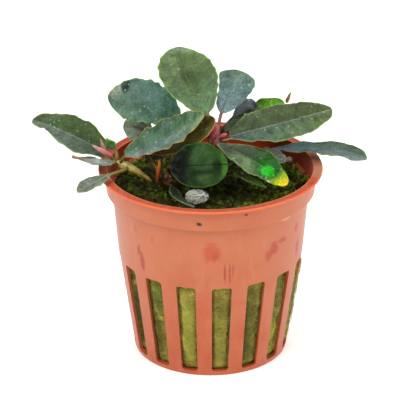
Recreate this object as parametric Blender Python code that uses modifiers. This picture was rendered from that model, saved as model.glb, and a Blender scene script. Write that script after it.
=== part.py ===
"""A bucephalandra, an aquarium plant, growing from rock wool in a slotted net pot.

Lengths are millimetres, and MM turns them into metres as each mesh is made.
The origin is the middle of the pot's underside, +Z is up and the plant's front looks along -Y.
"""
import math

import bmesh
import bpy
import numpy as np
from mathutils import Matrix, Vector

MM = 0.001
GAP = 0.3                       # clearance that touching pieces keep
ROOT_GAP = 0.4                  # a stalk's flat root stands this far off its stem's round skin

# Net pot
POT_HEIGHT = 48.0
LIP_RADIUS = 27.5
LIP_INNER_RADIUS = 25.1
LIP_THICKNESS = 0.5
LIP_ROUND = 0.15
COLLAR_TOP_RADIUS = 25.95
COLLAR_FOOT_RADIUS = 25.6
COLLAR_FOOT_HEIGHT = 42.3
STEP_HEIGHT = 42.9              # where the inside steps out behind the collar
SHOULDER_RADIUS = 24.2          # where the wall meets the collar
WAIST_RADIUS = 22.8             # just above the slots
WAIST_HEIGHT = 26.6
BASE_RADIUS = 19.0
FOOT_ROUND = 0.4                # chamfer round the underside
WALL = 0.9
COLLAR_WALL = 0.8
STEP_SLOPE = 0.5                # height that the inner step takes
FLOOR = 1.2
FLOOR_FILLET = 0.3
POT_STEPS = 48

# Slots in the wall
SLOT_COUNT = 16
SLOT_FIRST_ANGLE = 7.0          # degrees right of the front
SLOT_BOTTOM = 0.9
SLOT_TOP = 25.7
SLOT_BOTTOM_WIDTH = 4.0
SLOT_TOP_WIDTH = 4.9
SLOT_CORNER = 0.7
SLOT_REACH = 15.0               # how far from the axis a cutter's inner face stands

# Filling
WOOL_TOP = 40.1
WOOL_STEPS = 32
WOOL_CLEARANCE = 0.5            # gap to the wall, with the facets of both allowed for
WOOL_EDGE = 0.8                 # rounding of the plug's top edge
WOOL_FOOT_EDGE = 0.6
MOSS_FOOT_RADIUS = 22.7
MOSS_RADIUS = 24.4
MOSS_STEP_HEIGHT = 43.1         # its foot is narrow up to the pot's inner step
MOSS_EDGE_HEIGHT = 44.0
MOSS_CROWN = 0.5                # rise of the moss from its edge to its middle
MOSS_BUMP = 0.2
MOSS_STEPS = 24
MOSS_RINGS = (19.0, 14.0, 9.0, 4.0)

# Leaves
STATIONS = np.array([0.0, 0.25, 0.5, 0.75, 1.0])
RING_ANGLES = np.radians(np.arange(0, 360, 45))
BLADE_THICKNESS = 0.6
STALK_THICKNESS = 0.8
STALK_BOW = 0.35                # how far a stalk holds its end directions, as part of its reach
RIB_SWELL = 0.4                 # how much thicker a blade is at its neck
NECK_START = 0.12               # the first ring stands this far into the even swing round the outline
TIP_END = 0.985                 # the last ring stands just short of the tip's point

# Sheaths
SHEATH_STATIONS = (0.0, 0.2, 0.45, 0.7, 0.88, 1.0)
SHEATH_TIP = 0.12
SHEATH_FLARE = 0.8              # below one, it keeps the scale wide towards its tip
SHEATH_THICKNESS = 0.5

# Stems: points along the middle, each with the stem's radius there
RHIZOME = (
    (-13.5, -5.0, 46.6, 1.6),
    (-6.5, -3.2, 46.9, 1.9),
    (-0.3, -0.8, 49.0, 1.8),
    (1.0, 1.0, 54.4, 1.3),
)
LEFT_STEM = (
    (-14.3, -5.4, 46.3, 0.45),
    (-18.4, -3.2, 48.2, 0.85),
    (-21.3, -1.8, 49.1, 1.0),
    (-23.9, -0.7, 49.5, 0.5),
)

# Colours: red, green, blue, roughness
TERRACOTTA = (0.62, 0.17, 0.08, 0.45)
ROCK_WOOL = (0.30, 0.28, 0.06, 0.95)
MOSS_GREEN = (0.03, 0.05, 0.01, 0.95)
OLIVE = (0.08, 0.13, 0.04, 0.35)
TEAL = (0.07, 0.19, 0.13, 0.30)
SLATE = (0.13, 0.19, 0.19, 0.35)
DARK_LEAF = (0.03, 0.07, 0.02, 0.30)
FRESH_GREEN = (0.08, 0.30, 0.02, 0.35)
BROWN_LEAF = (0.06, 0.05, 0.01, 0.40)
STRAW_GREEN = (0.36, 0.34, 0.08, 0.45)
RED_BROWN = (0.06, 0.01, 0.005, 0.5)
PINK = (0.60, 0.20, 0.17, 0.5)
CRIMSON = (0.30, 0.05, 0.05, 0.5)
ORANGE = (0.45, 0.12, 0.02, 0.5)
PAPER_BROWN = (0.16, 0.06, 0.02, 0.6)
WHITE_WOOL = (0.55, 0.56, 0.50, 0.9)


def clear_scene():
    """Start from an empty file."""
    for old in list(bpy.data.objects):
        bpy.data.objects.remove(old, do_unlink=True)


def new_collection(name):
    """A collection under the scene."""
    collection = bpy.data.collections.new(name)
    bpy.context.scene.collection.children.link(collection)
    return collection


def material(name, finish):
    """A Principled material of one colour and roughness."""
    made = bpy.data.materials.get(name)
    if made is None:
        made = bpy.data.materials.new(name)
        made.use_nodes = True
        shader = made.node_tree.nodes["Principled BSDF"]
        shader.inputs["Base Color"].default_value = (*finish[:3], 1.0)
        shader.inputs["Roughness"].default_value = finish[3]
        shader.inputs["Metallic"].default_value = 0.0
    return made


def add_mesh(name, vertices, faces, collection, surface):
    """An object from vertices in millimetres, shaded smooth over its gentle edges."""
    mesh = bpy.data.meshes.new(name)
    mesh.from_pydata((np.asarray(vertices) * MM).tolist(), [], faces)
    mesh.validate()
    work = bmesh.new()
    work.from_mesh(mesh)
    bmesh.ops.recalc_face_normals(work, faces=work.faces)
    work.to_mesh(mesh)
    work.free()
    mesh.shade_smooth()
    mesh.set_sharp_from_angle(angle=math.radians(50))
    mesh.materials.append(surface)
    made = bpy.data.objects.new(name, mesh)
    collection.objects.link(made)
    return made


def turned(name, profile, steps, collection, surface):
    """A solid of revolution: a profile of (radius, height) carried round Z by a Screw modifier."""
    mesh = bpy.data.meshes.new(name)
    points = [(radius * MM, 0.0, height * MM) for radius, height in profile]
    mesh.from_pydata(points, [(i, i + 1) for i in range(len(points) - 1)], [])
    mesh.materials.append(surface)
    made = bpy.data.objects.new(name, mesh)
    collection.objects.link(made)
    screw = made.modifiers.new("Turn", "SCREW")
    screw.steps = screw.render_steps = steps
    screw.use_merge_vertices = True
    screw.merge_threshold = 0.00001
    screw.use_smooth_shade = True
    return made


def skin(rings, name, collection, surface):
    """A closed loft through rings of equally many points, with a flat cap at each end."""
    count, around = rings.shape[:2]
    row = np.arange(around)
    ahead = np.roll(row, -1)
    faces = []
    for level in range(count - 1):
        low = level * around
        high = low + around
        faces += np.stack([low + row, low + ahead, high + ahead, high + row], 1).tolist()
    faces.append(row[::-1].tolist())
    faces.append(((count - 1) * around + row).tolist())
    return add_mesh(name, rings.reshape(-1, 3), faces, collection, surface)


def unit(vector):
    """The vector at length one."""
    vector = np.asarray(vector, float)
    return vector / np.linalg.norm(vector, axis=-1, keepdims=True)


def through(values, along):
    """The curve of the fourth degree through five values spaced evenly from 0 to 1."""
    return np.polyval(np.polyfit(STATIONS, values, 4), along)


def stem_at(course, along):
    """Middle, direction and radius of a stem at a part of its length from 0 to 1."""
    points = np.array(course)
    places = np.linspace(0.0, 1.0, len(points))
    fitted = np.polyfit(places, points, len(points) - 1)
    here = np.array([np.polyval(fitted[:, i], along) for i in range(4)])
    slope = np.array([np.polyval(np.polyder(fitted[:, i]), along) for i in range(3)])
    return here[:3], unit(slope), here[3]


def on_stem(course, along, towards):
    """The point a gap off a stem's skin, on the side that a direction looks to, and the way out."""
    middle, axis, radius = stem_at(course, along)
    out = np.asarray(towards, float)
    out = unit(out - out.dot(axis) * axis)
    return middle + out * (radius + ROOT_GAP), out


def add_stem(name, course, collection, surface, spans=7, around=10):
    """A stem whose radius changes along its course, closed by flat ends."""
    rings = []
    for along in np.linspace(0.0, 1.0, spans):
        middle, axis, radius = stem_at(course, along)
        side = unit(np.cross(axis, (0.0, 1.0, 0.2)))
        other = np.cross(axis, side)
        turn = np.linspace(0.0, 2 * math.pi, around, endpoint=False)[:, None]
        rings.append(middle + radius * (np.cos(turn) * side + np.sin(turn) * other))
    return skin(np.array(rings), name, collection, surface)


def midrib(spec, along):
    """Point and direction on the parabola through a leaf's neck, middle and tip."""
    neck, middle, tip = (np.array(spec[key], float) for key in ("neck", "middle", "tip"))
    along = along[:, None]
    point = neck * (1 - along) * (1 - 2 * along) + middle * 4 * along * (1 - along)
    point = point + tip * along * (2 * along - 1)
    slope = neck * (4 * along - 3) + middle * (4 - 8 * along) + tip * (4 * along - 1)
    return point, unit(slope)


def blade_rings(spec, count):
    """Rings of the blade: an ellipse's width times its half widths, folded up along the midrib."""
    along = TIP_END * (1 - np.cos(np.linspace(NECK_START, 1.0, count) * math.pi)) / 2
    point, forward = midrib(spec, along)
    side = unit(np.cross(forward, unit(spec["faces"])))
    lift = np.cross(side, forward)
    turn = np.radians(spec.get("twist", 0.0)) * (along[:, None] - 0.5)
    side, lift = side * np.cos(turn) + lift * np.sin(turn), lift * np.cos(turn) - side * np.sin(turn)
    ellipse = np.sqrt(4 * along * (1 - along))
    right = np.maximum(through(spec["right"], along) * ellipse, STALK_THICKNESS / 2)
    left = np.maximum(through(spec["left"], along) * ellipse, STALK_THICKNESS / 2)
    across = np.cos(RING_ANGLES)
    half = np.where(across > 0, right[:, None], left[:, None])
    fold = math.radians(spec["fold"])
    rib = 1 + RIB_SWELL * (1 - along)
    ripple = spec.get("ripple", 0.0) * np.sin(2 * math.pi * spec.get("ripples", 0) * along)
    sideways = half * across * math.cos(fold)
    upward = np.abs(across) * half * math.sin(fold) + ripple[:, None] * across ** 2
    upward = upward + BLADE_THICKNESS / 2 * rib[:, None] * np.sin(RING_ANGLES)
    rings = point[:, None] + side[:, None] * sideways[..., None] + lift[:, None] * upward[..., None]
    return rings, point[0], forward[0], side[0]


def stalk_rings(spec, start, forward, side, count):
    """Rings of the stalk, from its root along a bent course into the blade's first ring."""
    root, out = spec["root"]
    bow = STALK_BOW * np.linalg.norm(start - root)
    knots = np.array([root, root + out * bow, start - forward * bow, start])
    rings = []
    for part in np.linspace(1.0, 0.0, count + 1)[1:]:
        rest = 1 - part
        weights = np.array([rest ** 3, 3 * rest ** 2 * part, 3 * rest * part ** 2, part ** 3])
        steps = np.array([3 * rest ** 2, 6 * rest * part, 3 * part ** 2])
        heading = unit(steps @ np.diff(knots, axis=0))
        side = unit(side - side.dot(heading) * heading)
        lift = np.cross(side, heading)
        radius = spec.get("stalk", STALK_THICKNESS) / 2
        circle = np.cos(RING_ANGLES)[:, None] * side + np.sin(RING_ANGLES)[:, None] * lift
        rings.append(weights @ knots + radius * circle)
    return np.array(rings[::-1])


def add_leaf(name, spec, collection, surface):
    """A leaf grown as one piece: a round stalk that flattens into a folded blade."""
    blade, start, forward, side = blade_rings(spec, spec["rings"])
    stalk = stalk_rings(spec, start, forward, side, 4)
    return skin(np.concatenate([stalk, blade]), name, collection, surface)


def add_sheath(name, spec, collection, surface):
    """A small pointed scale, widest a third of the way up and bowed along its length."""
    base = np.array(spec["base"], float)
    course = np.array(spec["tip"], float) - base
    side = unit(np.cross(course, unit(spec["faces"])))
    lift = np.cross(side, unit(course))
    rings = []
    for along in SHEATH_STATIONS:
        swell = math.sin(math.pi * (1 + 3 * along) / 4) ** SHEATH_FLARE if along < 1 else 0.0
        half = max(spec["width"] / 2 * swell, SHEATH_TIP)
        thick = spec.get("depth", SHEATH_THICKNESS) / 2 * (1 - 0.7 * along)
        middle = base + course * along + lift * spec.get("bow", 0.0) * math.sin(math.pi * along)
        across = np.cos(RING_ANGLES)[:, None] * side * half
        rings.append(middle + across + np.sin(RING_ANGLES)[:, None] * lift * thick)
    return skin(np.array(rings), name, collection, surface)


def add_pot(collection, cutters, surface):
    """Thin moulded pot: lip, collar, tapering wall with long slots, and a closed floor."""
    inside = [
        (0.0, FLOOR),
        (BASE_RADIUS - WALL - FLOOR_FILLET, FLOOR),
        (BASE_RADIUS - WALL, FLOOR + 2 * FLOOR_FILLET),
        (WAIST_RADIUS - WALL, WAIST_HEIGHT),
        (SHOULDER_RADIUS - WALL, STEP_HEIGHT),
        (COLLAR_FOOT_RADIUS - COLLAR_WALL, STEP_HEIGHT + STEP_SLOPE),
        (COLLAR_TOP_RADIUS - COLLAR_WALL, POT_HEIGHT - LIP_THICKNESS),
    ]
    lip = [
        (LIP_INNER_RADIUS, POT_HEIGHT - LIP_ROUND),
        (LIP_INNER_RADIUS + LIP_ROUND, POT_HEIGHT),
        (LIP_RADIUS - LIP_ROUND, POT_HEIGHT),
        (LIP_RADIUS, POT_HEIGHT - LIP_ROUND),
        (LIP_RADIUS, POT_HEIGHT - LIP_THICKNESS),
    ]
    outside = [
        (COLLAR_TOP_RADIUS, POT_HEIGHT - LIP_THICKNESS),
        (COLLAR_FOOT_RADIUS, COLLAR_FOOT_HEIGHT),
        (SHOULDER_RADIUS, COLLAR_FOOT_HEIGHT),
        (WAIST_RADIUS, WAIST_HEIGHT),
        (BASE_RADIUS, FOOT_ROUND),
        (BASE_RADIUS - FOOT_ROUND, 0.0),
        (0.0, 0.0),
    ]
    made = turned("pot", inside + lip + outside, POT_STEPS, collection, surface)
    cut = made.modifiers.new("Slots", "BOOLEAN")
    cut.operation = "DIFFERENCE"
    cut.solver = "EXACT"
    cut.operand_type = "COLLECTION"
    cut.collection = cutters
    return made


def slot_cutters(cutters):
    """One long tapering block with rounded top corners for each slot, spread round the wall."""
    work = bmesh.new()
    bmesh.ops.create_cube(work, size=1.0)
    for corner in work.verts:
        top = corner.co.z > 0
        width = SLOT_TOP_WIDTH if top else SLOT_BOTTOM_WIDTH
        corner.co.x *= width
        corner.co.y = -SLOT_REACH if corner.co.y > 0 else -LIP_RADIUS
        corner.co.z = SLOT_TOP if top else SLOT_BOTTOM
    top_edges = [
        edge for edge in work.edges
        if all(end.co.z > SLOT_TOP - 0.01 for end in edge.verts)
        and abs(edge.verts[0].co.x - edge.verts[1].co.x) < 0.01
    ]
    bmesh.ops.bevel(work, geom=top_edges, offset=SLOT_CORNER, segments=2, profile=0.5, affect="EDGES")
    bmesh.ops.scale(work, vec=(MM, MM, MM), verts=work.verts)
    mesh = bpy.data.meshes.new("slot_cutter")
    work.to_mesh(mesh)
    work.free()
    for number in range(SLOT_COUNT):
        cutter = bpy.data.objects.new(f"slot_cutter_{number + 1}", mesh)
        turn = math.radians(SLOT_FIRST_ANGLE + number * 360.0 / SLOT_COUNT)
        cutter.matrix_world = Matrix.Rotation(turn, 4, "Z")
        cutter.hide_render = True
        cutter.display_type = "WIRE"
        cutters.objects.link(cutter)


def add_rock_wool(collection, surface):
    """Plug of rock wool that fills the pot up to the moss."""
    inset = WALL + WOOL_CLEARANCE
    shoulder = SHOULDER_RADIUS - inset - WOOL_EDGE / 4
    foot = FLOOR + GAP
    profile = [
        (0.0, WOOL_TOP),
        (shoulder - WOOL_EDGE, WOOL_TOP),
        (shoulder, WOOL_TOP - WOOL_EDGE),
        (WAIST_RADIUS - inset, WAIST_HEIGHT),
        (BASE_RADIUS - inset, foot + WOOL_FOOT_EDGE),
        (BASE_RADIUS - inset - WOOL_FOOT_EDGE, foot),
        (0.0, foot),
    ]
    return turned("rock_wool", profile, WOOL_STEPS, collection, surface)


def moss_height(x, y):
    """Height of the moss: a low crown with shallow humps."""
    fall = 1 - (x ** 2 + y ** 2) / MOSS_RADIUS ** 2
    humps = np.sin(0.45 * x + 1.0) * np.cos(0.52 * y - 0.4) * np.clip(fall * 3, 0, 1)
    return MOSS_EDGE_HEIGHT + MOSS_CROWN * fall + MOSS_BUMP * (humps - 1) * np.clip(fall * 3, 0, 1)


def add_moss(collection, surface):
    """Mat of moss on the wool, up to the tips of its tufts."""
    turn = np.linspace(0.0, 2 * math.pi, MOSS_STEPS, endpoint=False)
    rings = []
    underside = WOOL_TOP + GAP
    for radius, height in (
        (MOSS_RINGS[-1], underside),
        (MOSS_FOOT_RADIUS, underside),
        (MOSS_FOOT_RADIUS, MOSS_STEP_HEIGHT),
    ):
        level = np.full(MOSS_STEPS, height)
        rings.append(np.stack([radius * np.cos(turn), radius * np.sin(turn), level], 1))
    for radius in (MOSS_RADIUS, *MOSS_RINGS):
        x = radius * np.cos(turn)
        y = radius * np.sin(turn)
        rings.append(np.stack([x, y, moss_height(x, y)], 1))
    return skin(np.array(rings), "moss", collection, surface)


def add_lump(name, centre, size, collection, surface, crumple=0.12):
    """A small uneven lump: an icosphere pushed in and out by a smooth wave."""
    work = bmesh.new()
    bmesh.ops.create_icosphere(work, subdivisions=2, radius=1.0)
    for corner in work.verts:
        x, y, z = corner.co
        swell = 1 + crumple * (math.sin(4.1 * x + 1.3) + math.sin(5.3 * y - 0.7) * math.cos(4.7 * z))
        corner.co = Vector(centre) + corner.co * swell * Vector(size)
    bmesh.ops.scale(work, vec=(MM, MM, MM), verts=work.verts)
    mesh = bpy.data.meshes.new(name)
    work.to_mesh(mesh)
    work.free()
    mesh.shade_smooth()
    mesh.materials.append(surface)
    made = bpy.data.objects.new(name, mesh)
    collection.objects.link(made)
    return made


def leaf_specs():
    """Every leaf: root on its stem, then neck, middle and tip of the midrib, and half widths.

    faces is the way the upper side looks. right and left hold the half widths at the neck,
    the quarter points and the tip, seen from the stalk with the upper side on top.
    """
    return {
        "far_left_leaf": dict(
            finish=OLIVE, root=on_stem(LEFT_STEM, 0.93, (-0.5, 1.0, 0.0)),
            neck=(-25.0, 1.6, 50.0), middle=(-33.8, 2.0, 55.2), tip=(-43.5, 3.0, 58.7),
            faces=(0.0, -0.36, 0.93), fold=14.0, twist=-8.0, rings=12,
            right=(4.0, 5.5, 5.5, 5.0, 4.3), left=(3.5, 5.0, 6.0, 4.0, 4.8)),
        "curled_left_leaf": dict(
            finish=SLATE, root=on_stem(LEFT_STEM, 0.84, (-0.5, -1.0, 0.2)),
            neck=(-23.3, -3.1, 50.2), middle=(-28.0, -3.6, 50.3), tip=(-33.5, -4.5, 52.5),
            faces=(0.0, 0.1, 1.0), fold=10.0, twist=-15.0, rings=9,
            right=(1.0, 2.8, 3.0, 3.0, 2.0), left=(1.0, 2.8, 3.2, 3.0, 2.0)),
        "low_left_leaf": dict(
            finish=SLATE, root=on_stem(LEFT_STEM, 0.5, (-0.5, -1.0, 0.0)),
            neck=(-24.2, -9.0, 49.6), middle=(-28.1, -12.0, 48.8), tip=(-32.0, -14.0, 47.4),
            faces=(-0.4, -0.4, 0.9), fold=10.0, rings=8,
            right=(1.2, 1.8, 2.3, 2.6, 2.4), left=(1.2, 2.2, 2.2, 2.6, 1.8)),
        "upper_left_leaf": dict(
            finish=TEAL, root=on_stem(RHIZOME, 0.55, (-0.3, 1.0, 0.3)),
            neck=(-8.0, 8.0, 56.0), middle=(-16.5, 8.5, 61.3), tip=(-25.2, 8.5, 62.5),
            faces=(0.05, -0.78, 0.63), fold=13.0, twist=4.0, rings=11,
            right=(5.0, 5.9, 5.7, 5.2, 3.5), left=(3.4, 5.0, 5.7, 6.5, 5.0)),
        "centre_long_leaf": dict(
            finish=TEAL, root=on_stem(LEFT_STEM, 0.72, (0.1, -0.7, 1.0)),
            neck=(-21.4, -2.8, 51.4), middle=(-10.6, -1.0, 55.8), tip=(-1.5, -1.0, 62.1),
            faces=(-0.13, -0.38, 0.92), fold=18.0, rings=16, ripple=0.25, ripples=4,
            right=(3.0, 4.0, 4.9, 5.4, 3.2), left=(3.6, 4.7, 5.0, 4.6, 4.4)),
        "under_long_leaf": dict(
            finish=BROWN_LEAF, root=on_stem(RHIZOME, 0.05, (-0.7, 0.1, 1.0)), stalk=1.0,
            neck=(-15.8, 0.2, 51.3), middle=(-6.6, 0.6, 54.7), tip=(1.0, 1.3, 60.1),
            faces=(0.05, -0.36, 0.93), fold=13.0, twist=-8.0, rings=11,
            right=(2.6, 4.2, 5.1, 4.8, 4.6), left=(2.8, 4.7, 5.0, 4.9, 4.0)),
        "top_round_leaf": dict(
            finish=OLIVE, root=on_stem(RHIZOME, 0.95, (-1.0, 1.0, 0.0)),
            neck=(-0.4, 5.0, 59.3), middle=(-5.7, 7.5, 67.8), tip=(-7.7, 9.5, 75.5),
            faces=(0.17, -0.74, 0.65), fold=20.0, twist=20.0, rings=12,
            right=(4.4, 7.3, 7.3, 7.4, 6.2), left=(4.2, 5.9, 7.0, 7.9, 8.0)),
        "upper_right_leaf": dict(
            finish=SLATE, root=on_stem(RHIZOME, 0.95, (0.1, 1.0, 0.0)),
            neck=(2.6, 7.5, 58.7), middle=(5.0, 10.5, 64.5), tip=(5.9, 12.5, 68.3),
            faces=(0.26, -0.84, 0.47), fold=16.0, rings=10,
            right=(2.4, 4.2, 5.1, 6.2, 4.2), left=(3.2, 3.3, 3.5, 4.8, 3.8)),
        "small_back_leaf": dict(
            finish=SLATE, root=on_stem(RHIZOME, 0.8, (0.0, 1.0, 0.0)),
            neck=(5.6, 10.4, 56.4), middle=(8.9, 12.0, 58.2), tip=(11.3, 13.0, 59.1),
            faces=(0.1, -0.6, 0.8), fold=6.0, rings=8,
            right=(1.4, 2.2, 2.5, 2.5, 2.2), left=(1.4, 2.2, 2.5, 2.5, 2.2)),
        "back_green_leaf": dict(
            finish=FRESH_GREEN, root=on_stem(RHIZOME, 0.62, (0.3, 1.0, 0.0)),
            neck=(4.9, 11.5, 54.6), middle=(12.3, 14.0, 56.6), tip=(18.3, 14.5, 58.6),
            faces=(-0.22, -0.32, 0.92), fold=2.0, rings=9,
            right=(2.2, 3.8, 4.0, 4.0, 3.0), left=(2.4, 2.8, 3.8, 4.0, 2.8)),
        "right_large_leaf": dict(
            finish=OLIVE, root=on_stem(RHIZOME, 0.93, (1.0, 0.5, 0.0)),
            neck=(3.9, 2.5, 54.4), middle=(16.8, 3.0, 57.9), tip=(29.6, 4.0, 61.2),
            faces=(0.0, -0.4, 0.91), fold=6.0, twist=-9.0, rings=12,
            right=(3.0, 4.7, 6.2, 6.5, 7.0), left=(5.0, 6.3, 5.8, 5.1, 4.4)),
        "far_right_leaf": dict(
            finish=SLATE, root=on_stem(RHIZOME, 0.66, (1.0, 0.2, -0.4)),
            neck=(15.1, 5.5, 49.8), middle=(27.6, 5.0, 50.4), tip=(38.3, 2.5, 48.8),
            faces=(-0.17, -0.07, 0.98), fold=5.0, twist=-12.0, rings=12,
            right=(1.8, 3.4, 3.3, 3.5, 3.8), left=(2.0, 3.1, 3.1, 4.0, 2.8)),
        "front_round_leaf": dict(
            finish=DARK_LEAF, root=on_stem(RHIZOME, 0.2, (0.0, -1.0, 0.6)),
            neck=(-10.0, -9.5, 51.9), middle=(-2.8, -10.0, 52.6), tip=(4.2, -9.5, 52.5),
            faces=(0.0, -0.6, 0.8), fold=3.0, rings=11,
            right=(4.2, 6.1, 6.4, 6.5, 5.5), left=(3.8, 6.0, 6.1, 6.1, 4.3)),
        "front_right_leaf": dict(
            finish=FRESH_GREEN, root=on_stem(RHIZOME, 0.92, (0.0, -1.0, 0.0)),
            neck=(0.9, -1.7, 54.6), middle=(10.6, -6.0, 51.8), tip=(18.1, -11.0, 47.5),
            faces=(0.27, -0.41, 0.87), fold=7.0, twist=-9.0, rings=12,
            right=(1.0, 4.0, 4.8, 4.2, 3.6), left=(3.0, 3.1, 4.7, 4.1, 4.8)),
        "right_grey_leaf": dict(
            finish=SLATE, root=on_stem(RHIZOME, 0.6, (1.0, -0.8, -0.2)),
            neck=(10.5, 1.5, 50.6), middle=(14.5, 0.5, 50.6), tip=(18.3, -1.0, 49.4),
            faces=(0.0, -0.35, 0.93), fold=6.0, rings=8,
            right=(1.2, 2.2, 2.5, 2.4, 2.0), left=(1.2, 2.2, 2.5, 2.4, 2.0)),
        "back_dark_leaf": dict(
            finish=DARK_LEAF, root=on_stem(RHIZOME, 0.78, (1.0, 0.9, 0.0)),
            neck=(3.5, 5.0, 54.6), middle=(6.0, 7.2, 55.6), tip=(8.6, 8.4, 55.6),
            faces=(0.0, -0.4, 0.9), fold=6.0, rings=8,
            right=(1.0, 1.7, 1.9, 1.8, 1.4), left=(1.0, 1.7, 1.9, 1.8, 1.4)),
        "back_left_leaf": dict(
            finish=SLATE, root=on_stem(RHIZOME, 0.4, (-0.3, 1.0, 0.2)),
            neck=(-14.5, 10.0, 51.5), middle=(-18.0, 10.5, 53.2), tip=(-21.6, 10.5, 53.8),
            faces=(0.0, -0.6, 0.8), fold=8.0, rings=8,
            right=(2.2, 3.6, 3.9, 3.9, 3.4), left=(2.2, 3.6, 3.9, 3.9, 3.4)),
        "front_slim_leaf": dict(
            finish=DARK_LEAF, root=on_stem(RHIZOME, 0.55, (0.8, -1.0, 0.0)),
            neck=(4.0, -6.0, 50.5), middle=(8.5, -8.8, 49.2), tip=(13.3, -11.6, 47.3),
            faces=(0.2, -0.5, 0.85), fold=8.0, rings=8,
            right=(0.8, 1.3, 1.5, 1.4, 1.0), left=(0.8, 1.3, 1.5, 1.4, 1.0)),
        "front_low_leaf": dict(
            finish=DARK_LEAF, root=on_stem(RHIZOME, 0.1, (0.3, -1.0, -0.1)),
            neck=(-9.4, -8.2, 46.3), middle=(-8.0, -13.3, 45.8), tip=(-3.9, -18.2, 45.2),
            faces=(0.0, 0.05, 1.0), fold=6.0, rings=8,
            right=(0.9, 1.2, 1.3, 1.1, 0.9), left=(0.8, 1.4, 1.2, 0.6, 0.5)),
        "sprout_leaf": dict(
            finish=FRESH_GREEN, root=on_stem(LEFT_STEM, 0.88, (0.0, 0.1, 1.0)), stalk=1.0,
            neck=(-23.4, 0.5, 52.3), middle=(-24.2, 0.4, 53.6), tip=(-25.3, 0.2, 55.1),
            faces=(-0.5, -0.7, 0.5), fold=14.0, rings=7,
            right=(0.9, 1.3, 1.4, 1.2, 0.9), left=(0.9, 1.3, 1.4, 1.2, 0.9)),
    }


def sheath_specs():
    """The pointed scales that wrapped new leaves, and the shoots that still stand closed."""
    return {
        "pink_sheath_front": dict(
            finish=PINK, base=(-23.9, -2.3, 51.6), tip=(-29.0, -2.6, 54.8), width=1.2,
            faces=(0.2, -0.9, 0.4), bow=-0.3),
        "pink_sheath_back": dict(
            finish=PINK, base=(-25.3, -0.9, 52.1), tip=(-26.7, -1.2, 55.9), width=0.9,
            faces=(0.6, -0.8, 0.2), bow=-0.4),
        "red_sheath": dict(
            finish=CRIMSON, base=(-0.3, -0.4, 55.4), tip=(1.8, 0.5, 58.6), width=2.4,
            faces=(0.0, -1.0, 0.2)),
        "red_sheath_right": dict(
            finish=CRIMSON, base=(2.1, -0.2, 55.6), tip=(4.0, 0.1, 56.5), width=1.2,
            faces=(0.0, -1.0, 0.2)),
        "papery_sheath": dict(
            finish=PAPER_BROWN, base=(2.65, -0.65, 54.8), tip=(5.5, 0.6, 55.1), width=0.7,
            faces=(0.0, -1.0, 0.3), depth=0.36),
        "orange_shoot": dict(
            finish=ORANGE, base=(-12.8, -7.2, 47.4), tip=(-12.2, -6.6, 52.8), width=1.2,
            faces=(0.0, -1.0, 0.0), depth=1.0),
        "brown_tip": dict(
            finish=PAPER_BROWN, base=(18.8, 14.0, 59.0), tip=(19.9, 14.2, 61.8), width=0.9,
            faces=(0.0, -1.0, 0.0), depth=0.7),
    }


def main():
    """Build every piece in one collection, with the slot cutters in another."""
    clear_scene()
    plant = new_collection("bucephalandra")
    cutters = new_collection("cutters")
    slot_cutters(cutters)
    add_pot(plant, cutters, material("moulded_terracotta_plastic", TERRACOTTA))
    add_rock_wool(plant, material("rock_wool", ROCK_WOOL))
    add_moss(plant, material("moss", MOSS_GREEN))
    add_stem("rhizome", RHIZOME, plant, material("rhizome", RED_BROWN))
    add_stem("left_stem", LEFT_STEM, plant, material("left_stem", STRAW_GREEN))
    for name, spec in leaf_specs().items():
        add_leaf(name, spec, plant, material(name, spec["finish"]))
    for name, spec in sheath_specs().items():
        add_sheath(name, spec, plant, material(name, spec["finish"]))
    for name, centre, size in (
        ("wool_tuft", (-3.3, -15.1, 46.65), (2.9, 1.65, 1.85)),
        ("white_crumb", (19.4, 10.0, 45.2), (0.8, 0.6, 0.6)),
    ):
        add_lump(name, centre, size, plant, material(name, WHITE_WOOL))


main()
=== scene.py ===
"""A bucephalandra in a net pot: leaves, stems, moss, rock wool and pot with their finishes.

Lengths here are millimetres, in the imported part's own frame, and MM turns them into metres.
The shapes follow the part's source: each leaf, stem and sheath repeats its values there,
and gets the margin, midrib, veins, waves and thin edge that the plain solids leave out.
"""
import math

import bpy
import numpy as np
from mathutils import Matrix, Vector


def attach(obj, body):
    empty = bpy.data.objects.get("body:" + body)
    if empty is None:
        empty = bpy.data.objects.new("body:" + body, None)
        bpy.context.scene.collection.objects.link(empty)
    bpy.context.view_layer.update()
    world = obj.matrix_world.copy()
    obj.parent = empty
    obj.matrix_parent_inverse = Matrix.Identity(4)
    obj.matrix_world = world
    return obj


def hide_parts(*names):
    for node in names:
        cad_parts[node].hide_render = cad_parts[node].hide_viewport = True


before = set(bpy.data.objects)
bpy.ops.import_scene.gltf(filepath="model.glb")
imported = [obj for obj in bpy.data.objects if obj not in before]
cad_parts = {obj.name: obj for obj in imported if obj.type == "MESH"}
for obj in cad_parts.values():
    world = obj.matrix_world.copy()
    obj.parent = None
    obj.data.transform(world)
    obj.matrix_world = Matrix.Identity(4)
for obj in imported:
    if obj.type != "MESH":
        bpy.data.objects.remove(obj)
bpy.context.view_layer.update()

bl_info = {
    "name": "Bucephalandra in a net pot",
    "version": (1, 0, 0),
    "blender": (4, 5, 0),
    "location": "3D View > Sidebar > Bucephalandra",
    "description": "Builds the visible surfaces of a potted bucephalandra and lights them",
    "category": "Object",
}

MM = 0.001
BODY = "root"
TAU = 2 * math.pi

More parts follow.
